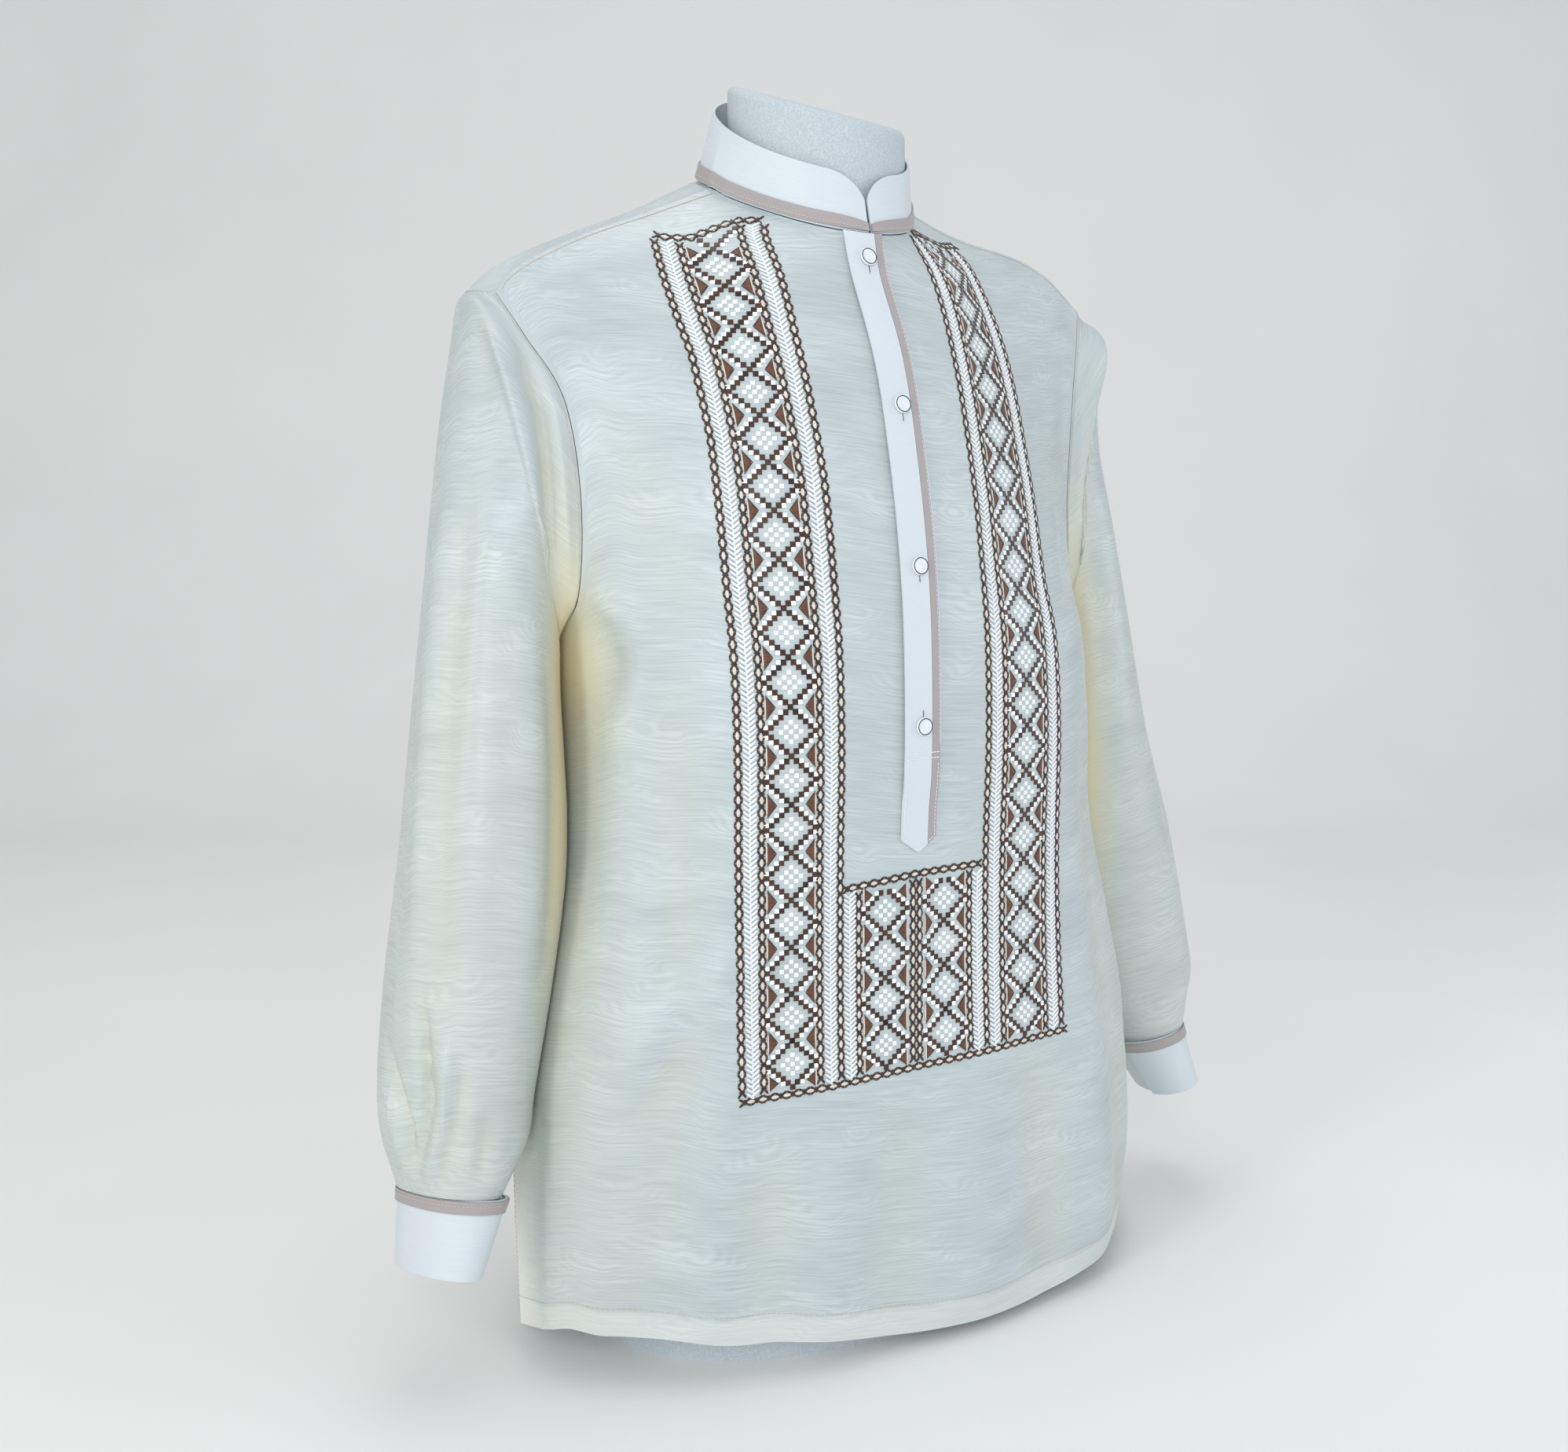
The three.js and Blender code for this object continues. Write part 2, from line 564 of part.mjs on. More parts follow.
// Point over the front panel: across from the buttons' line, at a height, lifted off the cloth
function onFront(fromButtons, height, lift) {
  const row = rowAtHeight(height);
  const across = fromButtons + through(buttonLine.z, buttonLine.x, height);
  const share = across / halfWidthAt(row);
  return panelPoint(-1, share, row).addScaledVector(panelNormal(-1, share, row), lift);
}

function stripSolid(span, top, bottomAt, lift, wall, acrossSteps, downCount) {
  const grid = [];
  for (let i = 0; i <= downCount; i += 1) {
    const line = [];
    for (let j = 0; j <= acrossSteps; j += 1) {
      const across = mix(span[0], span[1], j / acrossSteps);
      const height = mix(top, bottomAt(across), i / downCount);
      const under = fade(height, slitTop - 40, slitTop - 16);
      line.push(onFront(across, height, lift(under) + wall));
    }
    grid.push(line);
  }
  return thinSolid(grid, gridNormals(grid, false, -1), wall, false, -1);
}
const underLift = 2 * seamGap;
const placketLift = (under) => mix(2 * seamGap, 4 * seamGap + trimWall, under);
const placketMiddle = (placketSpan[0] + placketTrimSpan[1]) / 2;
const placketHalf = (placketTrimSpan[1] - placketSpan[0]) / 2;
const placketEnd = (across) => placketTip + placketPoint * (Math.abs(across - placketMiddle) / placketHalf);
addPiece("placket_under",
  stripSolid(underSpan, placketTop - 2, () => slitTop + 3, () => underLift, trimWall, 3, 16), "band");
addPiece("placket",
  stripSolid(placketSpan, placketTop, placketEnd, placketLift, clothWall, 3, 24), "band");
addPiece("placket_trim",
  stripSolid(placketTrimSpan, placketTop, placketEnd, placketLift, clothWall, 1, 24), "trim");

// Buttons: low discs with a raised rim, standing on the placket
const buttonProfile = [
  [0, 0], [buttonRadius * 0.8, 0], [buttonRadius, buttonThick * 0.35],
  [buttonRadius, buttonThick * 0.75], [buttonRadius * 0.9, buttonThick],
  [buttonRadius * 0.74, buttonThick * 0.93], [buttonRadius * 0.66, buttonThick * 0.72],
  [0, buttonThick * 0.72],
].map(([r, h]) => new THREE.Vector2(r, h));

buttonHeights.forEach((height, k) => {
  const geometry = new THREE.LatheGeometry(buttonProfile, 16);
  geometry.rotateX(Math.PI / 2);
  const mesh = addPiece(`button_${k + 1}`, geometry, "button");
  const row = rowAtHeight(height);
  const normal = panelNormal(-1, 0, row);
  const lift = placketLift(1) + clothWall + seamGap;
  mesh.position.copy(onFront(0, height, lift));
  mesh.quaternion.setFromUnitVectors(new THREE.Vector3(0, 0, 1), normal);
});

// Dress form: one smooth solid with a flat foot and a slanted flat top on the neck block
function formPoint(ring, share) {
  const angle = 2 * Math.PI * share;
  const c = Math.cos(angle);
  const s = Math.sin(angle);
  const square = (value) => Math.sign(value) * Math.pow(Math.abs(value), 2 / ring.power);
  const x = ring.half * square(s);
  const y = ring.mid + (c > 0 ? -ring.front : ring.back) * Math.abs(square(c));
  return new THREE.Vector3(x + (ring.shift ?? 0), y, ring.z + ring.slope * y + (ring.lean ?? 0) * x);
}

function formSolid() {
  const grid = formRings.map((ring) => {
    const line = [];
    for (let j = 0; j < formAround; j += 1) {
      line.push(formPoint(ring, j / formAround));
    }
    return line;
  });
  const positions = grid.flat().flatMap((p) => [p.x, p.y, p.z]);
  const index = [];
  for (let i = 0; i < grid.length - 1; i += 1) {
    for (let j = 0; j < formAround; j += 1) {
      const k = (j + 1) % formAround;
      const a = i * formAround + j;
      const b = i * formAround + k;
      const c = (i + 1) * formAround + k;
      const d = (i + 1) * formAround + j;
      index.push(a, b, c, a, c, d);
    }
  }
  const ends = [[0, -1], [grid.length - 1, 1]];
  for (const [i, turn] of ends) {
    const middle = new THREE.Vector3();
    grid[i].forEach((p) => middle.addScaledVector(p, 1 / formAround));
    const centre = positions.length / 3;
    positions.push(middle.x, middle.y, middle.z);
    for (let j = 0; j < formAround; j += 1) {
      const a = i * formAround + j;
      const b = i * formAround + ((j + 1) % formAround);
      index.push(...(turn > 0 ? [a, b, centre] : [b, a, centre]));
    }
  }
  return cleanGeometry(positions, index);
}
addPiece("dress_form", formSolid(), "form");

export default part;
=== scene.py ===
# %% [markdown]
# # A barong tagalog on its dress form
# The object is a sheer, long-sleeved formal shirt with a band collar, a half-length buttoned
# placket and a U of cross-stitch embroidery, hanging untucked on a limbless torso form. The CAD
# model already holds every piece in its place. This lesson loads it as a fixed frame, builds the
# finer cloth on the same sizes, and adds weave, folds, seams, hems and the embroidery.

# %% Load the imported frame
import math
import bpy
import numpy as np
from mathutils import Matrix, Vector


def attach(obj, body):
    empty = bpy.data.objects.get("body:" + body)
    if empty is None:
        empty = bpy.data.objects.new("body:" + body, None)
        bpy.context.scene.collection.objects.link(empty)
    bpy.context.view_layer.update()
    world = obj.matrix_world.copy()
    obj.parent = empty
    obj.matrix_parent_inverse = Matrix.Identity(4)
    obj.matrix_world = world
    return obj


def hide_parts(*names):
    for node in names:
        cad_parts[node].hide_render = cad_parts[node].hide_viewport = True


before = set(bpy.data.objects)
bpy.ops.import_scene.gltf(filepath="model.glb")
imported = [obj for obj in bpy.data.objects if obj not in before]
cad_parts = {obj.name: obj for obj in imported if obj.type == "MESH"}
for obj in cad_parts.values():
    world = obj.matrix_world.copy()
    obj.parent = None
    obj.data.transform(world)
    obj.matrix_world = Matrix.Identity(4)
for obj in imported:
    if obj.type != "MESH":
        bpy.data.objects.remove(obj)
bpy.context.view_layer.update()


def add_object(name, data):
    made = bpy.data.objects.new(name, data)
    bpy.context.scene.collection.objects.link(made)
    return made


def smooth_mesh(name, points, faces, sharp_angle):
    """A smooth mesh that keeps an edge where its faces turn by more than the angle."""
    mesh = bpy.data.meshes.new(name)
    mesh.from_pydata(points, [], faces)
    mesh.polygons.foreach_set("use_smooth", [True] * len(mesh.polygons))
    mesh.set_sharp_from_angle(angle=math.radians(sharp_angle))
    return mesh


# %% [markdown]
# The camera comes first. It stands about a metre from the shirt, a little above its middle, and
# looks at it from the wearer's right front. The lens is worked out from the picture's width.

# %% Camera at the photograph's angle
SENSOR_WIDTH, FOCAL_PIXELS, PICTURE_PIXELS = 36, 1902, 1996
CAMERA_PLACE = (-0.514, -0.897, 0.547)
azimuth, pitch, roll = (math.radians(a) for a in (-28.7, 8.5, -0.17))
backward = Vector((math.sin(azimuth) * math.cos(pitch), -math.cos(azimuth) * math.cos(pitch),
                   math.sin(pitch)))
level = Vector((math.cos(azimuth), math.sin(azimuth), 0))
upward = backward.cross(level)
side_axis = level * math.cos(roll) + upward * math.sin(roll)
top_axis = upward * math.cos(roll) - level * math.sin(roll)
camera_data = bpy.data.cameras.new("photo_camera")
camera_data.sensor_width = SENSOR_WIDTH
camera_data.sensor_fit = "HORIZONTAL"
camera_data.lens = SENSOR_WIDTH * FOCAL_PIXELS / PICTURE_PIXELS
camera_data.clip_start = 0.01
camera = add_object("photo_camera", camera_data)
turn = Matrix((side_axis, top_axis, backward)).transposed().to_4x4()
camera.matrix_world = Matrix.Translation(CAMERA_PLACE) @ turn
bpy.context.scene.camera = camera
print("camera at", tuple(round(c, 3) for c in camera.location), "lens", round(camera_data.lens, 2))

# %% [markdown]
# ## The cut of the shirt
# Cloth on a form is easiest to build as a surface with two numbers: how far across the panel a
# point lies, and how far down. The same tables of sizes as in the CAD give that surface, here in
# millimetres. A smooth curve through the table's values fills in between them, so the visible
# cloth can be as fine as it needs to be and still lie where the CAD piece lies.

# %% Sizes of the shirt, in millimetres
SEAM_GAP, BAND_WALL, TRIM_WALL, CLOTH_WALL = 0.3, 1.6, 1.0, 1.2
NECK_HALF_SHARE = 0.334
SLIT_TOP = 396
PLACKET_TOP, PLACKET_TIP, PLACKET_POINT = 712, 331, 9
PLACKET_SPAN, STRIP_SPAN, UNDER_SPAN = (-12.7, 6.8), (7.1, 12.7), (-6, 14.6)
# the line of buttons leans a little: x at five heights
BUTTON_LINE = {"z": [331, 410, 607, 685, 713], "x": [-4, -3.5, -3.5, -6.5, -5.5]}
BUTTON_HEIGHTS = [696, 605, 508, 411]
# the panels above the armpit: half width, then y and z at each of these shares across
COLUMNS = [0, 0.15, 0.25, 0.315, NECK_HALF_SHARE, 0.55, 0.73, 0.88, 0.965, 1]
FRONT_CHEST = [
    (221.5, [-71, -60, -33, -10, 3, 1, -2, -1, 0, -5],
     [713, 717.5, 729, 740, 747, 727, 711.5, 695.5, 682.5, 672]),
    (209, [-80.5, -77.5, -69.5, -62, -59, -32, -26, -23, -21, -20.5],
     [685, 686, 690, 693, 694.5, 695, 684, 666, 652, 645.5]),
    (192, [-103, -101, -97, -93, -91, -73, -58, -46, -40, -38],
     [635, 634, 634, 634.6, 635, 635, 629, 619, 611, 608]),
    (185, [-121, -120.5, -118, -115, -114, -101, -83, -63, -49, -43.5],
     [565, 564, 563, 562.6, 562.4, 560, 557, 553, 551, 550]),
    (187, [-132, -131.5, -129.5, -127, -126.5, -115, -98, -75, -55, -40],
     [507, 506, 504.5, 503, 502.6, 499, 496, 493, 491, 490])]
BACK_CHEST = [
    (221.5, [67, 63, 50, 29, 3, 1, -2, -1, 0, -5],
     [775, 772, 764, 756, 747, 727, 711.5, 695.5, 682.5, 672]),
    (232, [83, 80, 67, 47, 38, 22, 22, 22, 22, 22],
     [752, 753, 753, 753, 752, 728, 711, 695, 682.5, 673.6]),
    (222, [99, 97, 92, 85, 82, 63, 56, 49, 43, 40],
     [712, 712, 714, 715, 715, 703, 688, 668, 654, 645]),
    (206, [112, 111.5, 108.7, 106, 105.5, 94, 82, 67, 58, 54],
     [640, 640, 639, 638.5, 638.3, 633, 627, 618, 612, 610]),
    (197, [116, 116, 113.6, 111.7, 111, 101, 88, 70, 54, 44],
     [550, 550, 549, 548.6, 548.4, 545, 542, 539, 537, 536])]
# z, half width, front depth, back depth, squareness
RINGS = [(458, 188, 137, 114, 2.7), (400, 186, 139, 112, 3.1), (330, 191, 137.5, 110, 3.2),
         (255, 209, 138.5, 111, 3.0), (180, 224, 142, 114, 2.9), (100, 231, 143.5, 118, 2.8),
         (15, 231, 144, 122, 2.4)]
# how far the hem strays from the lowest ring, at shares across from right to left
HANG = {"share": [-1, -0.93, -0.8, -0.55, -0.4, 0, 0.4, 0.75, 1],
        "x": [4, 3.7, 3.1, 2, 1, 0, 2, 6, 9], "y": [0, 5, 10, 9.5, 7, 0, -6, -10, 0],
        "z": [-3, 12, 19, 9, 8, -4, -6, 1, 6]}
RINGS_TOP, RINGS_LOW = RINGS[0][0], RINGS[-1][0]
CHEST_ROWS = len(FRONT_CHEST)
LAST_ROW = CHEST_ROWS + len(RINGS) - 1
# how far the front's hem rises at its right corner and dips beside it, and how far the back's
# right edge turns in below the slit: at its hem corner's side and at the very edge
CORNER_LIFT, CORNER_DIP, BACK_TUCK, EDGE_TUCK = 8.6, 2.6, 23, 9
HEM_DEPTH, SLIT_HEM_LOW, SLIT_HEM_LESS = 19.2, 17.9, 6
ARMPIT_X, ARMPIT_Z = 191, 440
print("rows down a panel:", LAST_ROW + 1)


# %% Smooth curves through table values
def fade(x, low, high):
    t = np.clip((np.asarray(x, float) - low) / (high - low), 0, 1)
    return t * t * (3 - 2 * t)


def curve(a, b, slope_a, slope_b, t, h=1):
    """From a to b as t runs from 0 to 1, with both slopes kept; h is the step between them."""
    return ((2 * t**3 - 3 * t**2 + 1) * a + (t**3 - 2 * t**2 + t) * h * slope_a
            + (3 * t**2 - 2 * t**3) * b + (t**3 - t**2) * h * slope_b)


def through(xs, ys, x, flat_start=False):
    xs, ys, x = (np.asarray(v, float) for v in (xs, ys, x))
    slope = np.empty_like(ys)
    slope[1:-1] = (ys[2:] - ys[:-2]) / (xs[2:] - xs[:-2])
    slope[0] = 0 if flat_start else (ys[1] - ys[0]) / (xs[1] - xs[0])
    slope[-1] = (ys[-1] - ys[-2]) / (xs[-1] - xs[-2])
    i = np.clip(np.searchsorted(xs, x, side="left") - 1, 0, len(xs) - 2)
    h = xs[i + 1] - xs[i]
    return curve(ys[i], ys[i + 1], slope[i], slope[i + 1], (x - xs[i]) / h, h)


def down_rows(rows, row):
    """rows holds the points of every table row, (rows, points, 3); row says where each lies."""
    rows, row = np.asarray(rows, float), np.asarray(row, float)
    slope = np.empty_like(rows)
    slope[1:-1] = (rows[2:] - rows[:-2]) / 2
    slope[0], slope[-1] = rows[1] - rows[0], rows[-1] - rows[-2]
    i = np.clip(np.ceil(row).astype(int) - 1, 0, len(rows) - 2)
    n = np.arange(rows.shape[1])
    return curve(rows[i, n], rows[i + 1, n], slope[i, n], slope[i + 1, n], (row - i)[:, None])


print("halfway between 1 and 4 on a curve:", float(through([0, 1, 2], [0, 1, 4], 1.5)))


# %% Front and back panels
def table_row(side, row, share):
    chest = FRONT_CHEST if side < 0 else BACK_CHEST
    if row < CHEST_ROWS:
        half, ys, zs = chest[row]
        y, z = through(COLUMNS, ys, share, True), through(COLUMNS, zs, share, True)
        if row == 0:
            k = COLUMNS.index(NECK_HALF_SHARE)
            seam = share >= NECK_HALF_SHARE
            y = np.where(seam, through(COLUMNS[k:], ys[k:], share), y)
            z = np.where(seam, through(COLUMNS[k:], zs[k:], share), z)
        return np.stack([share * half, y, z], 1)
    z, half, front, back, power = RINGS[row - CHEST_ROWS]
    deep = front if side < 0 else back
    y = side * deep * np.maximum(1 - share**power, 0) ** (1 / power)
    return np.stack([share * half, y, np.full_like(share, z)], 1)


def panel(side, share, row):
    """Points of the front (side -1) or back (side 1): share -1..1 across, row 0..11 down."""
    share, row = np.broadcast_arrays(np.asarray(share, float), np.asarray(row, float))
    shape = share.shape
    share, row = share.ravel(), row.ravel()
    at = down_rows([table_row(side, r, np.abs(share)) for r in range(LAST_ROW + 1)], row)
    y = np.where(row > CHEST_ROWS, side * np.maximum(side * at[:, 1], 0), at[:, 1])
    p = np.stack([np.sign(share) * at[:, 0], y + side * SEAM_GAP * 0.7, at[:, 2]], 1)
    low = fade(-at[:, 2], -330, -40)
    p[:, 0] += low * through(HANG["share"], HANG["x"], share)
    if side < 0:
        p[:, 1] += low * through(HANG["share"], HANG["y"], share)
        p[:, 2] += low * CORNER_LIFT * fade(share, -1, -0.99) * (1 - fade(share, -0.97, -0.86))
        p[:, 2] -= low * CORNER_DIP * np.exp(-((share + 0.79) / 0.08) ** 2)
    p[:, 1] += side * 8 * share**8 * fade(-at[:, 2], -165, -60)
    p[:, 2] += low * through(HANG["share"], HANG["z"], share)
    p[:, 2] += 14 * fade(share, 0.42, 0.92) * (1 - fade(row, 0.6, 3.5))
    if side > 0:
        tuck = (BACK_TUCK * np.exp(-((share + 0.94) / 0.09) ** 2) * fade(share, -1.012, -0.985)
                + EDGE_TUCK * (1 - fade(share, -1, -0.97)))
        p[:, 0] += tuck * (1 - fade(p[:, 2], 105, 172))
    return p.reshape(shape + (3,))


def unit(v):
    return v / np.maximum(np.linalg.norm(v, axis=-1, keepdims=True), 1e-9)


def panel_normal(side, share, row):
    share, row = np.asarray(share, float), np.asarray(row, float)
    across = (panel(side, np.minimum(share + 0.01, 1), row)
              - panel(side, np.maximum(share - 0.01, -1), row))
    down = (panel(side, share, np.minimum(row + 0.05, LAST_ROW))
            - panel(side, share, np.maximum(row - 0.05, 0)))
    return unit(np.cross(across, down) * side)


print("front, middle of the chest:", panel(-1, 0.0, 3.0).round(1))

# %% [markdown]
# A sleeve starts at the edge of the two panels, the armhole, and then follows slanted rings down
# to the cuff. It lies against the body, so every point that would pass into it is moved out.

# %% Sleeves and cuffs
# outer x and z, inner x and z, y of the middle, half depth, toe-in in degrees, rise to the front
SLEEVE_RINGS = [
    (237.5, 671, 190, 450, 8, 56, 0, 0), (240.5, 649, 189, 432, 12, 57, 0, 0),
    (248, 608, 188, 409, 13, 57, 0, 0), (259, 550, 187, 378, 8, 57, 2, 0.02),
    (270.5, 485, 187, 343, 2, 57, 4, 0.04), (282, 412, 190, 303, -3, 57, 6, 0.06),
    (293, 335, 198, 260, -8, 56, 9, 0.1), (304, 262, 209, 217, -12, 54, 12, 0.15),
    (311, 205, 221, 180, -17, 52, 14, 0.18), (312, 168, 230, 150, -23, 50, 15, 0.22),
    (303, 131, 251, 119, -28, 42, 15, 0.26)]
SLEEVE_HANG = {-1: {"cuff": 0, "middle": 0, "lift": 0, "shoulder": 0, "kick": 0},
               1: {"cuff": 10, "middle": -13, "lift": 7, "shoulder": 6, "kick": 15}}
CUFF_TOP = np.array([302, 130.2, 251, 118.2, -28, 42.5, 15, 0.26])
CUFF_BOTTOM = np.array([306, 81, 270, 71, -30, 37, 15, 0.26])
CUFF_LAP, STRIP_HEIGHT = 28, 8
cuff_mid = (CUFF_TOP[1] + CUFF_TOP[3]) / 2
cuff_height = cuff_mid - (CUFF_BOTTOM[1] + CUFF_BOTTOM[3]) / 2


def ring_points(ring, turn_share, sign, lift=0.0):
    out_x, out_z, in_x, in_z, y, deep, toe, rise = ring
    own = SLEEVE_HANG[sign]
    angle, toe = 2 * np.pi * np.asarray(turn_share, float), math.radians(toe)
    half = math.hypot(out_x - in_x, out_z - in_z) / 2 + lift
    slant = unit(np.array([out_x - in_x, 0, out_z - in_z]))
    cos = np.sign(np.cos(angle)) * np.abs(np.cos(angle)) ** 0.9
    sin = np.sign(np.sin(angle)) * np.abs(np.sin(angle)) ** 0.9
    a, b = half * cos, (deep + lift) * sin
    across = a * math.cos(toe) - b * math.sin(toe)
    forward = a * math.sin(toe) + b * math.cos(toe)
    p = np.array([(out_x + in_x) / 2, y, (out_z + in_z) / 2]) + across[:, None] * slant
    p[:, 1] -= forward
    p[:, 2] += forward * rise
    height = (out_z + in_z) / 2
    p[:, 0] += own["cuff"] * fade(-height, -400, -120)
    p[:, 0] += (own["middle"] * fade(-p[:, 2], -665, -600) * (1 - fade(-height, -420, -180))
                * fade(cos, -0.9, 0.3))
    p[:, 0] += own["kick"] * np.clip((cuff_mid - height) / cuff_height, 0, 1)
    p[:, 2] += own["lift"] * fade(-height, -560, -120) + own["shoulder"] * fade(p[:, 2], 540, 660)
    return p


def body_half(y, z):
    table = np.array(RINGS, float)
    z = np.clip(-z, -RINGS_TOP, -RINGS_LOW)
    half, front, back, power = (through(-table[:, 0], table[:, k], z) for k in (1, 2, 3, 4))
    deep = np.where(y < 0, front, back)
    return half * np.maximum(1 - (np.abs(y) / deep) ** power, 0) ** (1 / power)


def clear_of_body(p, gap, sign):
    sway = sign * fade(-p[:, 2], -330, -40) * through(HANG["share"], HANG["x"], sign)
    limit = body_half(p[:, 1], np.minimum(p[:, 2], RINGS_TOP)) + sway + gap
    near = p[:, 0] - limit
    moved = limit + np.where(near > -6, (near + 6) ** 2 / 24, 0)
    p[:, 0] = np.where((p[:, 2] < 470) & (near < 6), moved, p[:, 0])
    return p


def armhole(sign, steps=8):
    """The edge of the panels as one closed line, and how far round each of its points lies."""
    rows = np.arange(0, CHEST_ROWS * steps + 1) / steps
    front = panel(-1, float(sign), rows)
    back = panel(1, float(sign), rows[1:-1][::-1])
    p = np.concatenate([front, back])
    length = np.linalg.norm(np.roll(p, -1, 0) - p, axis=1)
    share = np.concatenate([[0], np.cumsum(length)[:-1]]) / length.sum()
    p[:, 0] = np.abs(p[:, 0]) + 1.5 * SEAM_GAP
    p[:, 2] += 0.9 * (1 - fade(p[:, 2], 465, 500))
    return p, share


def sleeve_grid(sign, down):
    edge, turns = armhole(sign)
    rows = [edge] + [ring_points(ring, turns, sign) for ring in SLEEVE_RINGS]
    grid = []
    for i in range(down + 1):
        row = len(SLEEVE_RINGS) * i / down
        p = down_rows(rows, np.full(len(turns), row))
        if row > 0:
            p = p + (clear_of_body(p.copy(), 1.8, sign) - p) * min(row / 0.4, 1)
        grid.append(p * [sign, 1, 1])
    return np.array(grid)


print("points round the armhole:", len(armhole(-1)[0]))


def cuff_band(sign, low, high, rows, lift, around=110):
    grid = []
    for i in range(rows + 1):
        t = low + (high - low) * i / rows
        ring = CUFF_TOP + (CUFF_BOTTOM - CUFF_TOP) * t
        j = np.linspace(0, 1, around + 1)
        over = fade(j, 0.72, 0.93) * (BAND_WALL + TRIM_WALL + 3 * SEAM_GAP)
        line = np.concatenate([ring_points(ring, np.array([0.36 + (1 + CUFF_LAP / 360) * s]), sign,
                                           lift + o) for s, o in zip(j, over)])
        grid.append(line * [sign, 1, 1])
    return np.array(grid)


# %% Collar and placket
COLLAR_RADIUS, COLLAR_CENTRE, COLLAR_TOP, COLLAR_TILT = 63.5, 2, 784, 0.56
COLLAR_END_LENGTH, COLLAR_END_HEIGHT, COLLAR_ROOT = 27, 0.38, 0.6


def neckline(place):
    q = 1 - np.abs(place)
    sign = np.where(place < 0, -1.0, 1.0)
    front = panel(-1, sign * np.maximum(NECK_HALF_SHARE * 2 * q, 0.005), 0.0)
    rear = panel(1, sign * np.maximum(NECK_HALF_SHARE * 2 * (1 - q), 0.0001), 0.0)
    return np.where((q < 0.5)[:, None], front, rear)


def collar_points(place, up):
    base = neckline(place)
    angle = np.arctan2(base[:, 0], -(base[:, 1] - COLLAR_CENTRE))
    top = np.stack([COLLAR_RADIUS * np.sin(angle), COLLAR_CENTRE - COLLAR_RADIUS * np.cos(angle),
                    np.zeros_like(angle)], 1)
    top[:, 2] = COLLAR_TOP + COLLAR_TILT * top[:, 1]
    rise = top - base
    from_end = np.abs(base[:, 0]) + np.where(base[:, 1] > 0, 200, 0)
    t = np.clip(from_end / COLLAR_END_LENGTH, 0, 1)
    share = COLLAR_END_HEIGHT + (1 - COLLAR_END_HEIGHT) * np.sqrt(1 - (1 - t) ** 2)
    return base + unit(rise) * COLLAR_ROOT + rise * (up * share)[:, None]


def row_at(height):
    rows = np.linspace(0, LAST_ROW, 400)
    return np.interp(-np.asarray(height, float), -panel(-1, np.zeros(400), rows)[:, 2], rows)


def button_line(height):
    return through(BUTTON_LINE["z"], BUTTON_LINE["x"], height)


def on_front(across, height, lift):
    """Points over the front panel: across from the buttons' line, at a height, lifted."""
    across, height, lift = np.broadcast_arrays(*(np.asarray(v, float) for v in
                                                 (across, height, lift)))
    row = row_at(height)
    half = np.abs(panel(-1, np.full(row.shape, -1.0), row)[..., 0])
    share = (across + button_line(height)) / half
    return panel(-1, share, row) + panel_normal(-1, share, row) * lift[..., None]


def over_stand(height):
    """1 where the placket lies over the button stand, 0 below it."""
    return fade(height, SLIT_TOP - 40, SLIT_TOP - 16)


def placket_lift(under):
    return 2 * SEAM_GAP + (2 * SEAM_GAP + TRIM_WALL) * under


strip_mid = (PLACKET_SPAN[0] + STRIP_SPAN[1]) / 2
strip_half = (STRIP_SPAN[1] - PLACKET_SPAN[0]) / 2


def strip_grid(span, low, lift, wall, across_steps, down_steps, top=PLACKET_TOP):
    across = np.linspace(span[0], span[1], across_steps + 1)
    bottom = low(across)
    t = np.linspace(0, 1, down_steps + 1)[:, None]
    height = top + (bottom[None, :] - top) * t
    return on_front(np.broadcast_to(across, height.shape), height,
                    lift(over_stand(height)) + wall)


def placket_end(across):
    return PLACKET_TIP + PLACKET_POINT * np.abs(across - strip_mid) / strip_half


print("placket point:", on_front(strip_mid, PLACKET_TIP, 2.0).round(1))

# %% [markdown]
# ## From points to cloth
# One helper turns a grid of points into a thin closed shell: an outer face, an inner face one
# wall inside and a rim all round. Each point also keeps its place on the flat cloth in
# millimetres, as a UV map, so that weave and hems follow the cloth and not the room.


# %% Thin shells
def grid_normals(grid, closed, turn):
    up = np.concatenate([grid[:1], grid[:-1]])
    down = np.concatenate([grid[1:], grid[-1:]])
    if closed:
        across = np.roll(grid, -1, 1) - np.roll(grid, 1, 1)
    else:
        across = (np.concatenate([grid[:, 1:], grid[:, -1:]], 1)
                  - np.concatenate([grid[:, :1], grid[:, :-1]], 1))
    return unit(np.cross(across, down - up) * turn)


def cloth_uv(grid):
    """Millimetres across from the middle column, and up from the lower edge."""
    step = np.linalg.norm(np.diff(grid, axis=1), axis=2)
    across = np.concatenate([np.zeros((len(grid), 1)), np.cumsum(step, 1)], 1)
    across -= across[:, across.shape[1] // 2][:, None]
    fall = np.linalg.norm(np.diff(grid, axis=0), axis=2)
    down = np.concatenate([np.zeros((1, grid.shape[1])), np.cumsum(fall, 0)])
    return np.stack([across, down[-1:] - down], 2)


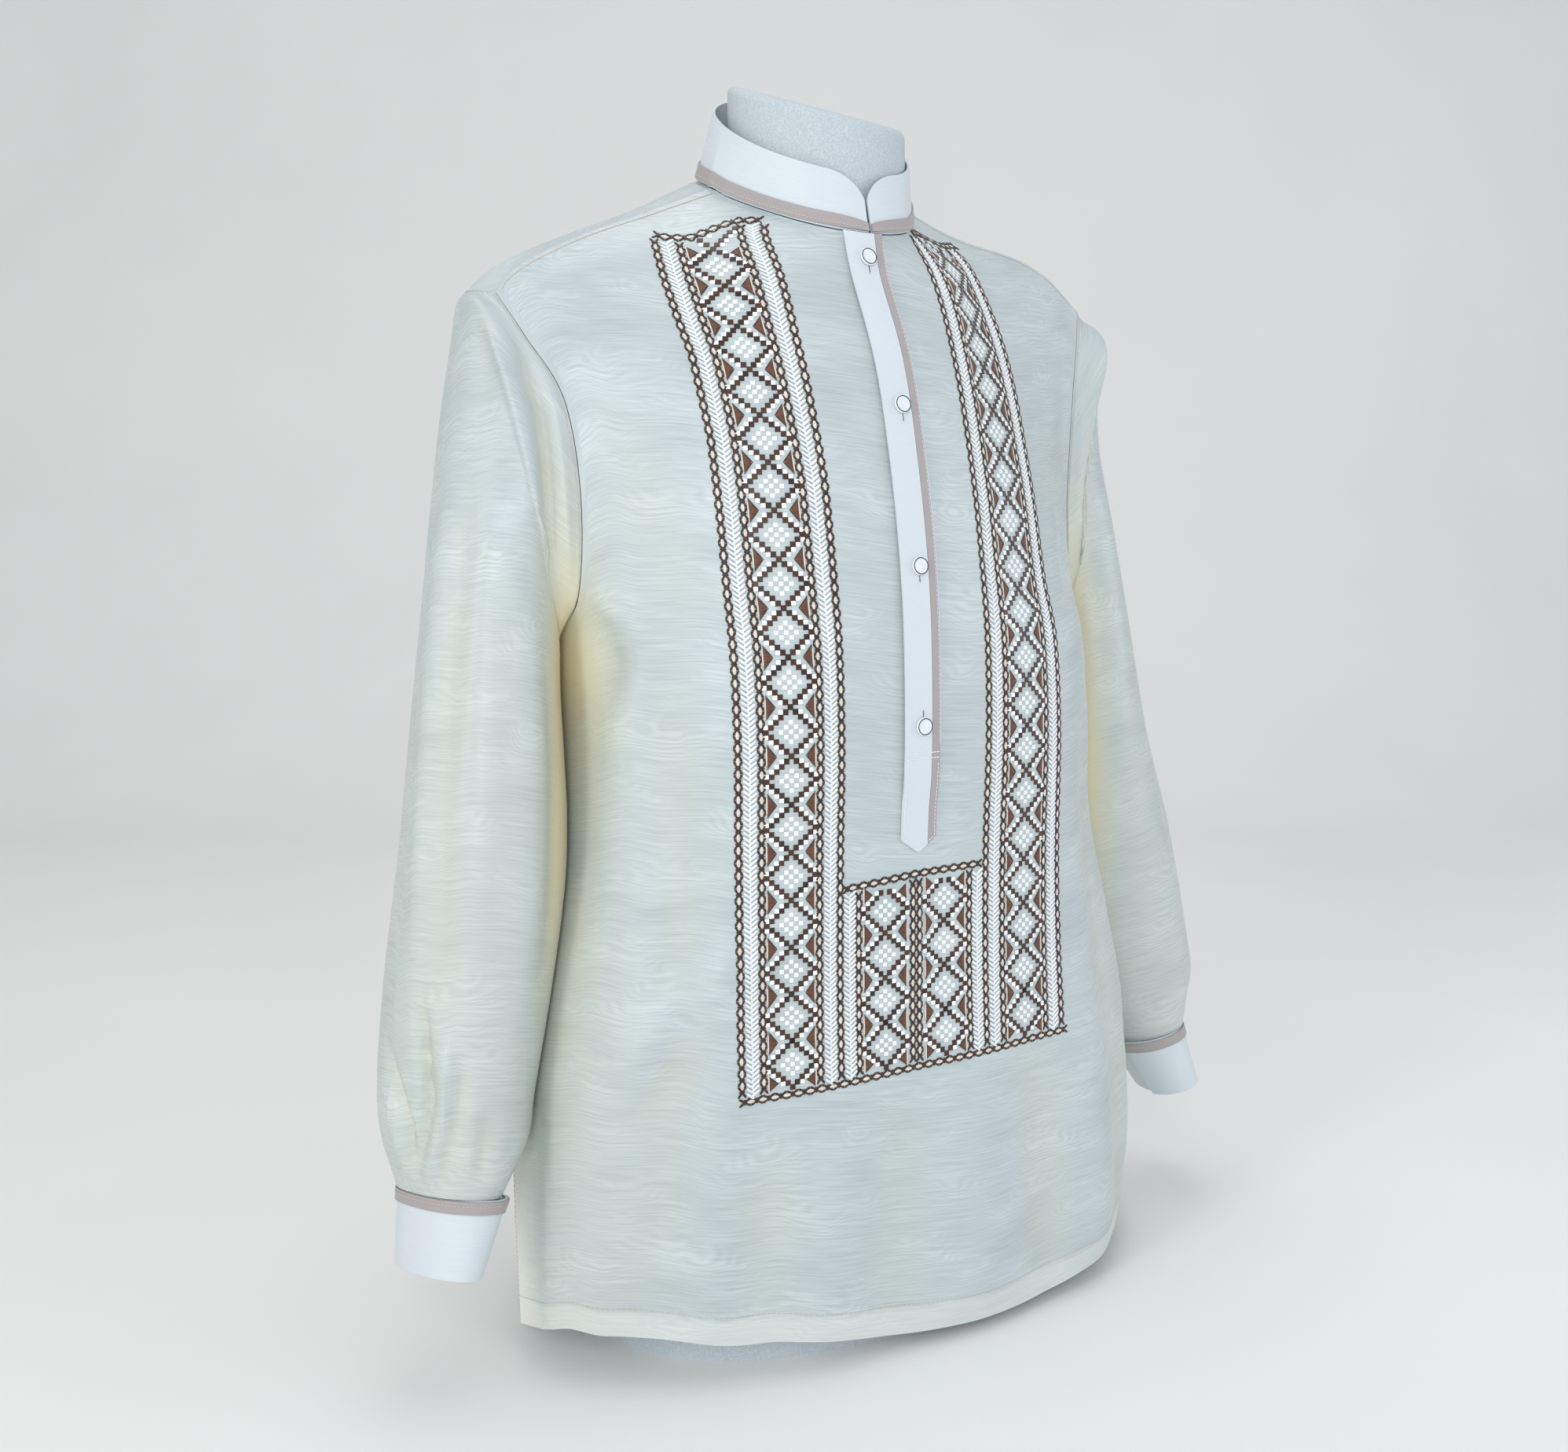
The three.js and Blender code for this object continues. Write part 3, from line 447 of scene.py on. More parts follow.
def shell(name, grid, wall, turn, material, uv, marks, keep=None):
    rows, count = grid.shape[:2]
    inner = grid - grid_normals(grid, False, turn) * wall
    points = np.concatenate([grid.reshape(-1, 3), inner.reshape(-1, 3)]) / 1000
    has = np.ones((rows - 1, count - 1), bool) if keep is None else keep
    i, j = np.nonzero(has)
    a, d = i * count + j, (i + 1) * count + j
    b, c = a + 1, d + 1
    layer = rows * count
    outer = np.stack([a, b, c, d] if turn > 0 else [a, d, c, b], 1)
    faces = [outer, outer[:, ::-1] + layer]
    pad = np.zeros((rows + 1, count + 1), bool)
    pad[1:rows, 1:count] = has
    for shared, u, v in ((pad[i, j + 1], b, a), (pad[i + 1, j + 2], c, b),
                         (pad[i + 2, j + 1], d, c), (pad[i + 1, j], a, d)):
        u, v = u[~shared], v[~shared]
        rim = np.stack([u, v, v + layer, u + layer], 1)
        faces.append(rim if turn > 0 else rim[:, ::-1])
    faces = np.concatenate(faces)
    used, faces = np.unique(faces, return_inverse=True)
    faces = faces.reshape(-1, 4)
    mesh = smooth_mesh(name, points[used].tolist(), faces.tolist(), 50)
    flat = np.concatenate([uv.reshape(-1, 2)] * 2)[used]
    layer_uv = mesh.uv_layers.new(name="cloth")
    layer_uv.data.foreach_set("uv", flat[faces.ravel()].ravel())
    for mark, values in marks.items():
        attribute = mesh.attributes.new(mark, "FLOAT", "POINT")
        attribute.data.foreach_set("value", np.concatenate([values.ravel()] * 2)[used])
    mesh.materials.append(material)
    return add_object(name, mesh)


print("shells are ready")

# %% [markdown]
# ## Finishes
# Colours are picked as sRGB hex values and turned to linear light by one function. Another adds
# a shader node with its settings and links, so each finish reads as a short list of steps.


# %% Helpers for materials
def linear(hex_colour):
    values = [int(hex_colour[i:i + 2], 16) / 255 for i in (1, 3, 5)]
    return tuple(v / 12.92 if v <= 0.04045 else ((v + 0.055) / 1.055) ** 2.4
                 for v in values) + (1.0,)


def wire(tree, target, inputs):
    """An input given as (node, output) is linked, any other value is set."""
    for key, value in inputs.items():
        if isinstance(value, tuple) and isinstance(value[0], bpy.types.Node):
            tree.links.new(value[0].outputs[value[1]], target.inputs[key])
        else:
            target.inputs[key].default_value = value


def node(tree, kind, settings=None, inputs=None):
    made = tree.nodes.new(kind)
    for key, value in (settings or {}).items():
        setattr(made, key, value)
    wire(tree, made, inputs or {})
    return made


def new_material(name, colour):
    material = bpy.data.materials.new(name)
    material.use_nodes = True
    material.diffuse_color = linear(colour)
    tree = material.node_tree
    tree.nodes.clear()
    shader = node(tree, "ShaderNodeBsdfPrincipled")
    node(tree, "ShaderNodeOutputMaterial", inputs={"Surface": (shader, "BSDF")})
    return material, tree, shader


def blend_colours(tree, factor, low, high, kind="MIX"):
    return node(tree, "ShaderNodeMix", {"data_type": "RGBA", "blend_type": kind},
                {0: factor, 6: low, 7: high}), 2


def maths(tree, operation, *values, clamp=False):
    return node(tree, "ShaderNodeMath", {"operation": operation, "use_clamp": clamp},
                dict(enumerate(values))), "Value"


def raised(tree, height, strength, distance):
    return node(tree, "ShaderNodeBump", inputs={"Height": height, "Strength": strength,
                                                "Distance": distance}), "Normal"


def noise(tree, scale, **more):
    """Spots in the object's own space, about scale of them to a metre."""
    place = node(tree, "ShaderNodeTexCoord")
    return node(tree, "ShaderNodeTexNoise",
                inputs={"Vector": (place, "Object"), "Scale": scale, **more}), "Fac"


print("white in linear light:", linear("#ffffff")[:3])

# %% [markdown]
# Organza of raw silk or pineapple fibre is woven from stiff, smooth threads of uneven
# thickness. The thicker ones, the slubs, run across as faint lines a millimetre or so thick and
# a few centimetres long. Two sheer layers over each other also give a watery pattern like wood
# grain. Both are drawn on the cloth's own millimetres. The real threads are about 0.15 mm
# apart, too fine to show here, so the lines are drawn near 1 mm.


# %% Sheer slubbed cloth
SLUB_LENGTH, CLOUD_WIDE, CLOUD_TALL, MOIRE_BEND, MOIRE_PITCH = 38, 70, 34, 60.0, 4.0


def slubbed_cloth(name, light, dim, warm, roughness, grain, weft=1.1, moire_and_sheen=1.0):
    material, tree, shader = new_material(name, light)
    flat = node(tree, "ShaderNodeUVMap", {"uv_map": "cloth"})
    lines = node(tree, "ShaderNodeMapping", inputs={"Vector": (flat, "UV"),
                                                    "Scale": (1 / SLUB_LENGTH, 1 / weft, 1)})
    slub = node(tree, "ShaderNodeTexNoise", inputs={"Vector": (lines, "Vector"), "Scale": 1.0,
                                                    "Detail": 3.0, "Roughness": 0.6})
    patches = node(tree, "ShaderNodeMapping",
                   inputs={"Vector": (flat, "UV"), "Scale": (1 / CLOUD_WIDE, 1 / CLOUD_TALL, 1)})
    cloud = node(tree, "ShaderNodeTexNoise", inputs={"Vector": (patches, "Vector"),
                                                     "Scale": 1.0, "Detail": 2.0})
    split = node(tree, "ShaderNodeSeparateXYZ", inputs={"Vector": (flat, "UV")})
    bent = maths(tree, "ADD", (split, "Y"), maths(tree, "MULTIPLY", (cloud, "Fac"), MOIRE_BEND))
    watery = maths(tree, "SINE", maths(tree, "MULTIPLY", bent, 2 * math.pi / MOIRE_PITCH))
    strength = node(tree, "ShaderNodeMapRange",
                    inputs={"Value": (cloud, "Fac"), "From Min": 0.42, "From Max": 0.7,
                            "To Min": 0.0, "To Max": 0.13 * moire_and_sheen})
    shimmer = maths(tree, "MULTIPLY", watery, (strength, "Result"))
    # painted sheen: the cloud noise lightens the cloth's colour in soft patches
    painted_sheen = maths(tree, "MULTIPLY_ADD", (cloud, "Fac"), 0.6 * moire_and_sheen,
                  0.5 - grain / 2 - 0.3 * moire_and_sheen)
    thread = maths(tree, "MULTIPLY_ADD", (slub, "Fac"), grain, painted_sheen)
    total = maths(tree, "ADD", thread, shimmer, clamp=True)
    colour = blend_colours(tree, total, linear(dim), linear(light))
    # tints from marks on the mesh: the cream and tan of painted shade and doubled cloth, and the
    # hem's own lighter colour
    for mark, tint in (("warm", warm), ("hem", "#f5f6ee")):
        marked = node(tree, "ShaderNodeAttribute", {"attribute_name": mark})
        colour = blend_colours(tree, (marked, "Fac"), colour, linear(tint))
    rough = node(tree, "ShaderNodeMapRange", inputs={"Value": total,
                                                     "To Min": roughness + 0.17,
                                                     "To Max": roughness - 0.13})
    along = node(tree, "ShaderNodeTangent", {"direction_type": "UV_MAP", "uv_map": "cloth"})
    wire(tree, shader, {"Base Color": colour, "Roughness": (rough, "Result"),
                        "Normal": raised(tree, (slub, "Fac"), 0.5, 0.00022),
                        "Tangent": (along, "Tangent"), "Specular IOR Level": 0.55,
                        "Anisotropic": 0.55, "Sheen Weight": 0.18, "Sheen Roughness": 0.35})
    return material


# the third colour is the cream and tan of painted shade and doubled cloth
organza = slubbed_cloth("ivory_silk_organza", "#d6e0e0", "#a3afb1", "#dcd1a8", 0.36, 1.15)
band_cloth = slubbed_cloth("lined_white_organza", "#dfe7ec", "#ccd6dc", "#e0e0d6", 0.46, 0.7,
                           0.9, 0.25)
strip_cloth = slubbed_cloth("taupe_cotton_strip", "#b4adac", "#a29b9a", "#b0a8a4", 0.6, 0.6,
                            0.6, 0.0)
print("cloths:", organza.name, band_cloth.name, strip_cloth.name)


# %% [markdown]
# The embroidery thread is rayon: many fine, glossy filaments laid side by side, which shine
# along their length. The form's neck block is a matt, finely speckled paint over foam, and the
# buttons are pearly plastic with a thin dark metal ring.


# %% Thread, paint, pearl and metal
def thread_material(name, dark, bright, roughness=0.38, lines=0.7):
    material, tree, shader = new_material(name, bright)
    tone = node(tree, "ShaderNodeAttribute", {"attribute_name": "tone"})
    flat = node(tree, "ShaderNodeUVMap", {"uv_map": "cloth"})
    strands = node(tree, "ShaderNodeTexWave", {"bands_direction": "Y"},
                   {"Vector": (flat, "UV"), "Scale": 0.8, "Distortion": 1.2})
    # each stitch's tone, from dark to bright, is partly random and partly painted sheen of satin
    # catching the light
    colour = blend_colours(tree, (tone, "Fac"), linear(dark), linear(bright))
    shade = blend_colours(tree, (strands, "Fac"), linear("#c8c8c8"), linear("#ffffff"))
    colour = blend_colours(tree, lines, colour, shade, "MULTIPLY")
    wire(tree, shader, {"Base Color": colour, "Roughness": roughness, "Sheen Weight": 0.15,
                        "Normal": raised(tree, (strands, "Fac"), 0.4, 0.00004)})
    return material


brown_thread = thread_material("dark_brown_rayon_thread", "#24120c", "#7c5037")
white_thread = thread_material("white_rayon_thread", "#e2eaed", "#fcffff", 0.45, 0.25)
cream_thread = thread_material("cream_rayon_thread", "#d9d0c3", "#eee7dc", 0.45, 0.3)
seam_thread = thread_material("cream_sewing_thread", "#d8d2c0", "#ece6d6", 0.6)

form_paint, tree, shader = new_material("matt_speckled_foam_paint", "#c3cdd2")
specks, blotch = noise(tree, 900.0, Detail=2.0), noise(tree, 60.0, Detail=3.0)
sharp = node(tree, "ShaderNodeMapRange", inputs={"Value": specks, "From Min": 0.4,
                                                 "From Max": 0.62})
colour = blend_colours(tree, (sharp, "Result"), linear("#b3bec4"), linear("#ccd6da"))
tint = blend_colours(tree, blotch, linear("#b9c6cd"), linear("#cbd3d4"))
wire(tree, shader, {"Base Color": blend_colours(tree, 0.4, colour, tint), "Roughness": 0.8,
                    "Normal": raised(tree, specks, 0.3, 0.0003)})

pearl, tree, shader = new_material("pearly_polyester_resin", "#eef4f8")
swirl = noise(tree, 260.0, Detail=2.0, Distortion=2.5)
wire(tree, shader, {"Base Color": blend_colours(tree, swirl, linear("#cfdde8"), linear("#ffffff")),
                    "Roughness": 0.16, "Coat Weight": 0.6, "Coat Roughness": 0.08})

ring_metal, tree, shader = new_material("blackened_brass_ring", "#4c4a50")
colour = blend_colours(tree, noise(tree, 500.0), linear("#3a383e"), linear("#6b6a70"))
wire(tree, shader, {"Base Color": colour, "Metallic": 1.0, "Roughness": 0.35})
print("finishes:", len(bpy.data.materials))

# %% [markdown]
# ## The body of the shirt
# Hanging cloth is never quite even. Its main folds are placed as soft troughs and ridges,
# each along a line over the cloth with its own height and width, and the embroidery rides on
# the same surface. Similar, uneven ones go on the sides that a photograph hides.


# %% Folds as soft ridges and troughs
# a fold runs out over this share of its line at each end, down to this share of its height
FOLD_FADE, FOLD_END = 0.22, 0.25


def fold_heights(points, folds):
    """folds: height (below 0 for a trough), half width, then the points of its line, in mm."""
    total = np.zeros(points.shape[:-1])
    for height, width, *line in folds:
        line = np.array(line, float)
        nearest = np.full(total.shape, 1e9)
        place = np.zeros(total.shape)
        for k in range(len(line) - 1):
            start, step = line[k], line[k + 1] - line[k]
            t = np.clip((points - start) @ step / (step @ step), 0, 1)
            far = np.linalg.norm(points - start - t[..., None] * step, axis=-1)
            closer = far < nearest
            nearest = np.where(closer, far, nearest)
            place = np.where(closer, (k + t) / (len(line) - 1), place)
        ends = (fade(place, 0, FOLD_FADE) * (1 - fade(place, 1 - FOLD_FADE, 1))
                * (1 - FOLD_END) + FOLD_END)
        total += height * ends * np.exp(-(nearest / width) ** 2)
    return total


# lines over the front panel, as x and z
FRONT_FOLDS = [
    (3.5, 16, (-186, 470), (-183, 400), (-180, 320), (-186, 240), (-196, 160)),
    (-4, 15, (-164, 470), (-158, 400), (-156, 310), (-160, 220), (-170, 120), (-176, 20)),
    (3, 18, (-138, 300), (-134, 210), (-140, 110), (-146, 20)),
    (-3, 20, (-100, 150), (-104, 80), (-108, 10)),
    (3.5, 22, (-62, 170), (-66, 90), (-68, 5)),
    (-3, 22, (-20, 165), (-16, 90), (-22, 0)),
    (3.5, 24, (34, 175), (42, 100), (44, 0)),
    (-4.5, 20, (88, 190), (98, 100), (106, 0)),
    (4, 18, (132, 260), (142, 160), (156, 60), (162, 0)),
    (-5, 15, (150, 420), (160, 330), (172, 230), (184, 120), (192, 20)),
    (3.5, 14, (176, 440), (184, 350), (196, 250), (208, 150)),
    (-2, 14, (-168, 560), (-150, 520), (-140, 480)),
    (2.6, 6, (-187, 498), (-179, 488), (-170, 478)),
    (-7, 7.5, (-192, 484), (-184, 472), (-179, 452), (-184, 425), (-188, 395), (-190, 360)),
    (3, 8, (-165, 470), (-170, 445), (-175, 418), (-180, 385)),
    (4, 11, (-199, 200), (-172, 232), (-142, 262), (-120, 276)),
    (-3.5, 14, (-190, 170), (-160, 200), (-128, 232)),
    (-2.5, 20, (-150, 120), (-120, 110), (-90, 116)),
    (-2.2, 12, (178, 548), (156, 516), (148, 474)),
    (-1.6, 11, (-178, 610), (-160, 570), (-152, 530)),
    (-1.6, 11, (180, 610), (162, 566), (156, 520)),
    (1.6, 14, (-6, 318), (-5, 280), (-4, 240)),
    (-1.6, 12, (8, 316), (12, 280), (12, 245))]
BACK_FOLDS = [
    (3, 18, (-150, 500), (-152, 400), (-160, 280), (-170, 150), (-172, 10)),
    (-4, 20, (-108, 560), (-104, 440), (-106, 300), (-116, 150), (-122, 10)),
    (3.5, 24, (-60, 520), (-58, 380), (-64, 220), (-70, 10)),
    (-3, 22, (-14, 480), (-12, 320), (-20, 160), (-22, 10)),
    (4, 24, (36, 540), (38, 400), (34, 240), (40, 10)),
    (-4, 20, (92, 560), (96, 420), (98, 260), (110, 110), (116, 10)),
    (3.5, 18, (142, 510), (146, 400), (160, 260), (170, 120), (176, 10)),
    (-2.5, 14, (-186, 470), (-188, 380), (-196, 260)),
    (-2.5, 14, (184, 470), (190, 360), (202, 250)),
    (-1.8, 14, (-176, 600), (-140, 560), (-120, 500)),
    (-1.8, 14, (176, 600), (144, 552), (124, 500)),
    (1.5, 20, (-60, 700), (0, 690), (60, 700))]


def panel_cloth(side, share, row, lift=0.0):
    """The panel with its folds, lifted along the normal."""
    base, normal = panel(side, share, row), panel_normal(side, share, row)
    height = fold_heights(base[..., [0, 2]], FRONT_FOLDS if side < 0 else BACK_FOLDS)
    edge = (1 - np.abs(share)) * 200
    height *= fade(edge, 0, 10) * fade(np.broadcast_to(row, edge.shape), 0, 0.8)
    if side < 0:
        low, top = BUTTON_LINE["z"][0], BUTTON_LINE["z"][-1]
        from_buttons = np.abs(base[..., 0] - button_line(np.clip(base[..., 2], low, top)))
        height *= 1 - (1 - fade(from_buttons, 15, 30)) * fade(base[..., 2], 312, 330)
    height = np.maximum(height, -9 * fade(-base[..., 2], -640, -500))
    return base + normal * (height + lift)[..., None], normal, height


def armpit_shade_and_side_cream(points):
    """Painted shade, creamy to tan, under the arm and faintly at the doubled sides."""
    x, z = np.abs(points[..., 0]), points[..., 2]
    middle = ARMPIT_X + 0.12 * np.maximum(ARMPIT_Z - z, 0)
    reach = np.where(z < ARMPIT_Z, 170, 60)
    warm = np.exp(-((x - middle) / 12) ** 2 - ((z - ARMPIT_Z) / reach) ** 2)
    return warm + 0.12 * fade(x, 160, 215) * (1 - fade(z, 430, 560))


def slit_hem(height):
    """The width of the turned-in edge beside the slit, in mm."""
    return SLIT_HEM_LOW - SLIT_HEM_LESS * fade(height, 70, 160)


def build_panel(name, side, across, down):
    share = np.unique(np.concatenate([np.linspace(-1, 1, across + 1), [0.0025, -0.0025],
                                      [NECK_HALF_SHARE, -NECK_HALF_SHARE]]))
    share = share[np.concatenate([[True], np.diff(share) > 1e-9])]
    if side < 0:
        share = share[np.abs(share) > 0.001]
    rows = np.linspace(0, LAST_ROW, down + 1)
    share, row = np.meshgrid(share, rows)
    grid, _, height = panel_cloth(side, share, row)
    keep = np.ones((down, share.shape[1] - 1), bool)
    if side < 0:
        middle = np.argmax(share[0] > 0) - 1
        keep[:, middle] = grid[1:, middle, 2] < SLIT_TOP
    uv = cloth_uv(grid)
    to_edge = np.minimum(np.abs(uv[..., 0] - uv[:, :1, 0]), np.abs(uv[..., 0] - uv[:, -1:, 0]))
    wide = slit_hem(grid[..., 2]) - 0.5
    slit = (1 - fade(to_edge, wide, wide + 1)) * (1 - fade(grid[..., 2], 158, 168))
    hem = np.maximum(0.3 * (1 - fade(uv[..., 1], HEM_DEPTH - 0.6, HEM_DEPTH + 0.4)), slit)
    # fold troughs get more of the painted shade
    warm = np.clip(armpit_shade_and_side_cream(grid) - 0.025 * np.minimum(height, 0), 0, 1)
    marks = {"hem": hem, "warm": warm}
    return shell(name, grid, CLOTH_WALL, side, organza, uv, marks, keep), grid, uv


front, front_grid, front_uv = build_panel("front_panel", -1, 130, 190)
back, back_grid, back_uv = build_panel("back_panel", 1, 110, 160)
print("front and back:", len(front.data.polygons), len(back.data.polygons), "faces")

# %% [markdown]
# ## Sleeves
# A set-in sleeve keeps a narrow ridge beside the armhole seam with a soft valley outside it, and
# a flat front plane that ends in an edge down to the cuff, where two pleats take in the width.

# %% Sleeve cloth
# lines in space, in mm, for the wearer's right sleeve; the left one has its own, a little apart
RIGHT_FOLDS = [
    (3.4, 5.5, (-207, -26, 640), (-199, -36, 615), (-195, -42, 584), (-194, -45, 547),
     (-193, -44, 505)),
    (-8, 8, (-216, -26, 642), (-212, -35, 622), (-207, -43, 600), (-205, -47, 565),
     (-204, -47, 525), (-200, -43, 480)),
    (-2.2, 10, (-236, -20, 668), (-237, -22, 640), (-235, -29, 600)),
    (3.6, 12, (-220, -44, 600), (-221, -50, 540), (-221, -52, 475), (-224, -56, 383),
     (-234, -60, 291), (-248, -62, 215)),
    (-3.5, 11, (-250, -30, 600), (-262, -36, 500), (-272, -42, 400), (-282, -50, 300),
     (-288, -56, 230)),
    (3, 10, (-262, -8, 590), (-276, -18, 480), (-288, -30, 370), (-297, -42, 270)),
    (-3, 10, (-262, 22, 560), (-280, 14, 450), (-292, 2, 340), (-300, -12, 250)),
    (-2.6, 8, (-208, -50, 480), (-206, -50, 400), (-212, -52, 320), (-222, -55, 250)),
    (-6.5, 4, (-296, -46, 262), (-295, -53, 225), (-295, -59, 198), (-298, -57, 175),
     (-301, -48, 148)),
    (4, 5, (-286, -57, 245), (-285, -65, 210), (-287, -67, 190), (-291, -63, 172),
     (-294, -56, 148)),
    (-6, 4, (-310, -22, 222), (-308, -38, 198), (-305, -48, 180), (-303, -46, 150)),
    (3, 5, (-314, -12, 215), (-314, -28, 192), (-311, -38, 172), (-308, -36, 150)),
    (-4, 6, (-276, -68, 222), (-282, -69, 190), (-287, -66, 165), (-289, -60, 146)),
    (-3, 6, (-262, -74, 190), (-268, -71, 160), (-270, -62, 138)),
    (3, 16, (-240, 62, 600), (-246, 60, 480), (-256, 50, 360), (-270, 34, 250)),
    (-3.5, 12, (-214, 60, 590), (-216, 58, 460), (-224, 48, 330), (-240, 34, 220)),
    (-2.5, 12, (-268, 50, 560), (-280, 42, 430), (-292, 24, 300))]
LEFT_FOLDS = [
    (2.4, 7, (204, -26, 650), (196, -36, 620), (192, -42, 580), (191, -44, 540)),
    (-4, 9, (218, -26, 655), (210, -38, 618), (205, -46, 570), (203, -48, 520)),
    (3, 14, (222, -50, 560), (224, -54, 460), (232, -58, 360), (246, -62, 270), (262, -62, 205)),
    (-3.5, 11, (248, -34, 600), (258, -38, 490), (272, -46, 380), (288, -54, 280)),
    (3, 10, (262, -10, 590), (274, -18, 470), (290, -32, 350), (304, -44, 250)),
    (-3, 11, (260, 24, 560), (280, 12, 430), (298, -4, 300)),
    (-5, 6, (298, -66, 200), (304, -62, 165), (304, -56, 142)),
    (-4.5, 6, (310, -42, 205), (314, -42, 172), (312, -40, 144)),
    (3, 16, (238, 62, 600), (246, 58, 470), (260, 46, 330), (282, 26, 220)),
    (-3.5, 12, (212, 60, 580), (218, 56, 440), (232, 44, 300))]


def build_sleeve(name, sign, folds, down=170):
    grid = sleeve_grid(sign, down)
    normal = grid_normals(grid, True, sign)
    height = fold_heights(grid, folds)
    row = np.arange(down + 1)[:, None] / down
    height = height * fade(row, 0, 0.035) * (1 - 0.8 * fade(row, 0.985, 1))
    inside = fade(np.abs(grid[..., 0]), 188, 204)
    height = np.where(height > 0, height * inside, height)
    grid = grid + normal * height[..., None]
    grid = np.concatenate([grid, grid[:, :1]], 1)
    uv = cloth_uv(grid)
    height = np.concatenate([height, height[:, :1]], 1)
    # painted shade: more in fold troughs and along the sleeve's inner side next to the body
    warm = armpit_shade_and_side_cream(grid) + 0.03 * np.maximum(-height, 0)
    warm += 0.2 * (1 - fade(np.abs(grid[..., 0]), 196, 226)) * (1 - fade(grid[..., 2], 540, 620))
    marks = {"hem": np.zeros(warm.shape), "warm": np.clip(warm, 0, 1)}
    return shell(name, grid, CLOTH_WALL, sign, organza, uv, marks), grid


sleeve_right, right_grid = build_sleeve("sleeve_cloth_right", -1, RIGHT_FOLDS)
sleeve_left, left_grid = build_sleeve("sleeve_cloth_left", 1, LEFT_FOLDS)
print("sleeves:", len(sleeve_right.data.polygons), len(sleeve_left.data.polygons), "faces")

# %% [markdown]
# ## Collar, cuffs and placket
# These are doubled cloth with stiffening between, so they are smooth bands of even thickness.
# The collar and each cuff carry a narrow taupe strip along one edge, and so does the placket.


# %% Bands and their strips
def smooth_places(count, power=0.8):
    t = np.linspace(-1, 1, count)
    return np.unique(np.concatenate([np.sign(t) * np.abs(t) ** power, [-0.5, 0.5]]))


def collar_grid(ups, lift=0.0, count=161):
    places = smooth_places(count)
    grid = np.array([collar_points(places, up) for up in ups])
    return grid + grid_normals(grid, False, 1) * lift


def band_piece(name, grid, wall, turn, material):
    uv = cloth_uv(grid)
    marks = {"hem": np.zeros(uv.shape[:2]), "warm": np.zeros(uv.shape[:2])}
    return shell(name, grid, wall, turn, material, uv, marks), uv


collar_rows = collar_grid(np.linspace(1, 0, 15), BAND_WALL)
collar_strip_rows = collar_grid(np.linspace(0.24, 0.02, 5), BAND_WALL + SEAM_GAP + TRIM_WALL)
collar, collar_uv = band_piece("collar_band", collar_rows, BAND_WALL, 1, band_cloth)
collar_strip, _ = band_piece("collar_strip", collar_strip_rows, TRIM_WALL, 1, strip_cloth)
cuffs, cuff_strips = [], []
for side_name, sign in (("right", -1), ("left", 1)):
    grid = cuff_band(sign, 0, 1, 14, 0)
    cuffs.append(band_piece(f"cuff_band_{side_name}", grid, BAND_WALL, sign, band_cloth))
    grid = cuff_band(sign, 0.4 / cuff_height, STRIP_HEIGHT / cuff_height, 3, SEAM_GAP + TRIM_WALL)
    strip, _ = band_piece(f"cuff_strip_{side_name}", grid, TRIM_WALL, sign, strip_cloth)
    cuff_strips.append((strip, grid))
placket_grid = strip_grid(PLACKET_SPAN, placket_end, placket_lift, CLOTH_WALL, 12, 150)
placket, _ = band_piece("placket_band", placket_grid, CLOTH_WALL, -1, band_cloth)
side_grid = strip_grid(STRIP_SPAN, placket_end, placket_lift, CLOTH_WALL, 4, 150)
placket_strip, _ = band_piece("placket_strip", side_grid, CLOTH_WALL, -1, strip_cloth)
under_grid = strip_grid(UNDER_SPAN, lambda x: 0 * x + SLIT_TOP + 3, lambda under: 2 * SEAM_GAP,
                        TRIM_WALL, 10, 90, PLACKET_TOP - 2)
placket_under, _ = band_piece("placket_under_band", under_grid, TRIM_WALL, -1, band_cloth)

# %% [markdown]
# ## The dress form
# Only the neck block shows: a smooth oval column cut off at a slant, with a softly rounded edge.
# The body under the shirt follows the CAD's rings, so it stays clear of the cloth all round.

# %% Dress form
# z, slope, half width, front, back, middle, squareness, sideways shift, sideways lean
FORM_RINGS = [
    (0, 0, 176, 122, 100, 0, 2.3, 0, 0), (60, 0, 180, 126, 104, 0, 2.3, 0, 0),
    (150, 0, 180, 128, 105, 0, 2.3, 0, 0), (250, 0, 174, 127, 102, 0, 2.3, 0, 0),
    (340, 0, 172, 127, 100, 0, 2.3, 0, 0), (430, 0, 175, 130, 105, 0, 2.3, 0, 0),
    (500, 0, 178, 126, 107, 0, 2.1, 0, 0), (560, 0.02, 186, 117, 105, 0, 1.95, 0, 0),
    (610, 0.04, 194, 110, 98, 5, 1.65, 0, 0), (650, 0.06, 194, 102, 88, 10, 1.45, 0, 0),
    (682, 0.08, 178, 92, 76, 13, 1.3, 0, 0), (706, 0.13, 146, 82, 70, 12, 1.25, 0, 0),
    (724, 0.24, 98, 60, 62, 8, 1.45, 0, 0), (742, 0.38, 66, 60, 59, 2, 1.85, 1, 0),
    (760, 0.42, 60, 59, 58, 1, 2, 2, 0), (780, 0.38, 58.7, 58.7, 58.7, 0, 2, 2.6, 0)]
NECK_TOP, EDGE_ROUND, NECK_FLAT = 798.5, 6, 52.4
for bend in np.linspace(0, math.pi / 2, 9):
    reach = NECK_FLAT + EDGE_ROUND * math.cos(bend)
    FORM_RINGS.append((NECK_TOP + EDGE_ROUND * math.sin(bend), 0.35, reach, reach, reach, 0, 2,
                       2.6, -0.1))
FORM_RINGS += [(NECK_TOP + EDGE_ROUND, 0.35, r, r, r, 0, 2, 2.6, -0.1) for r in (36, 18, 0.5)]
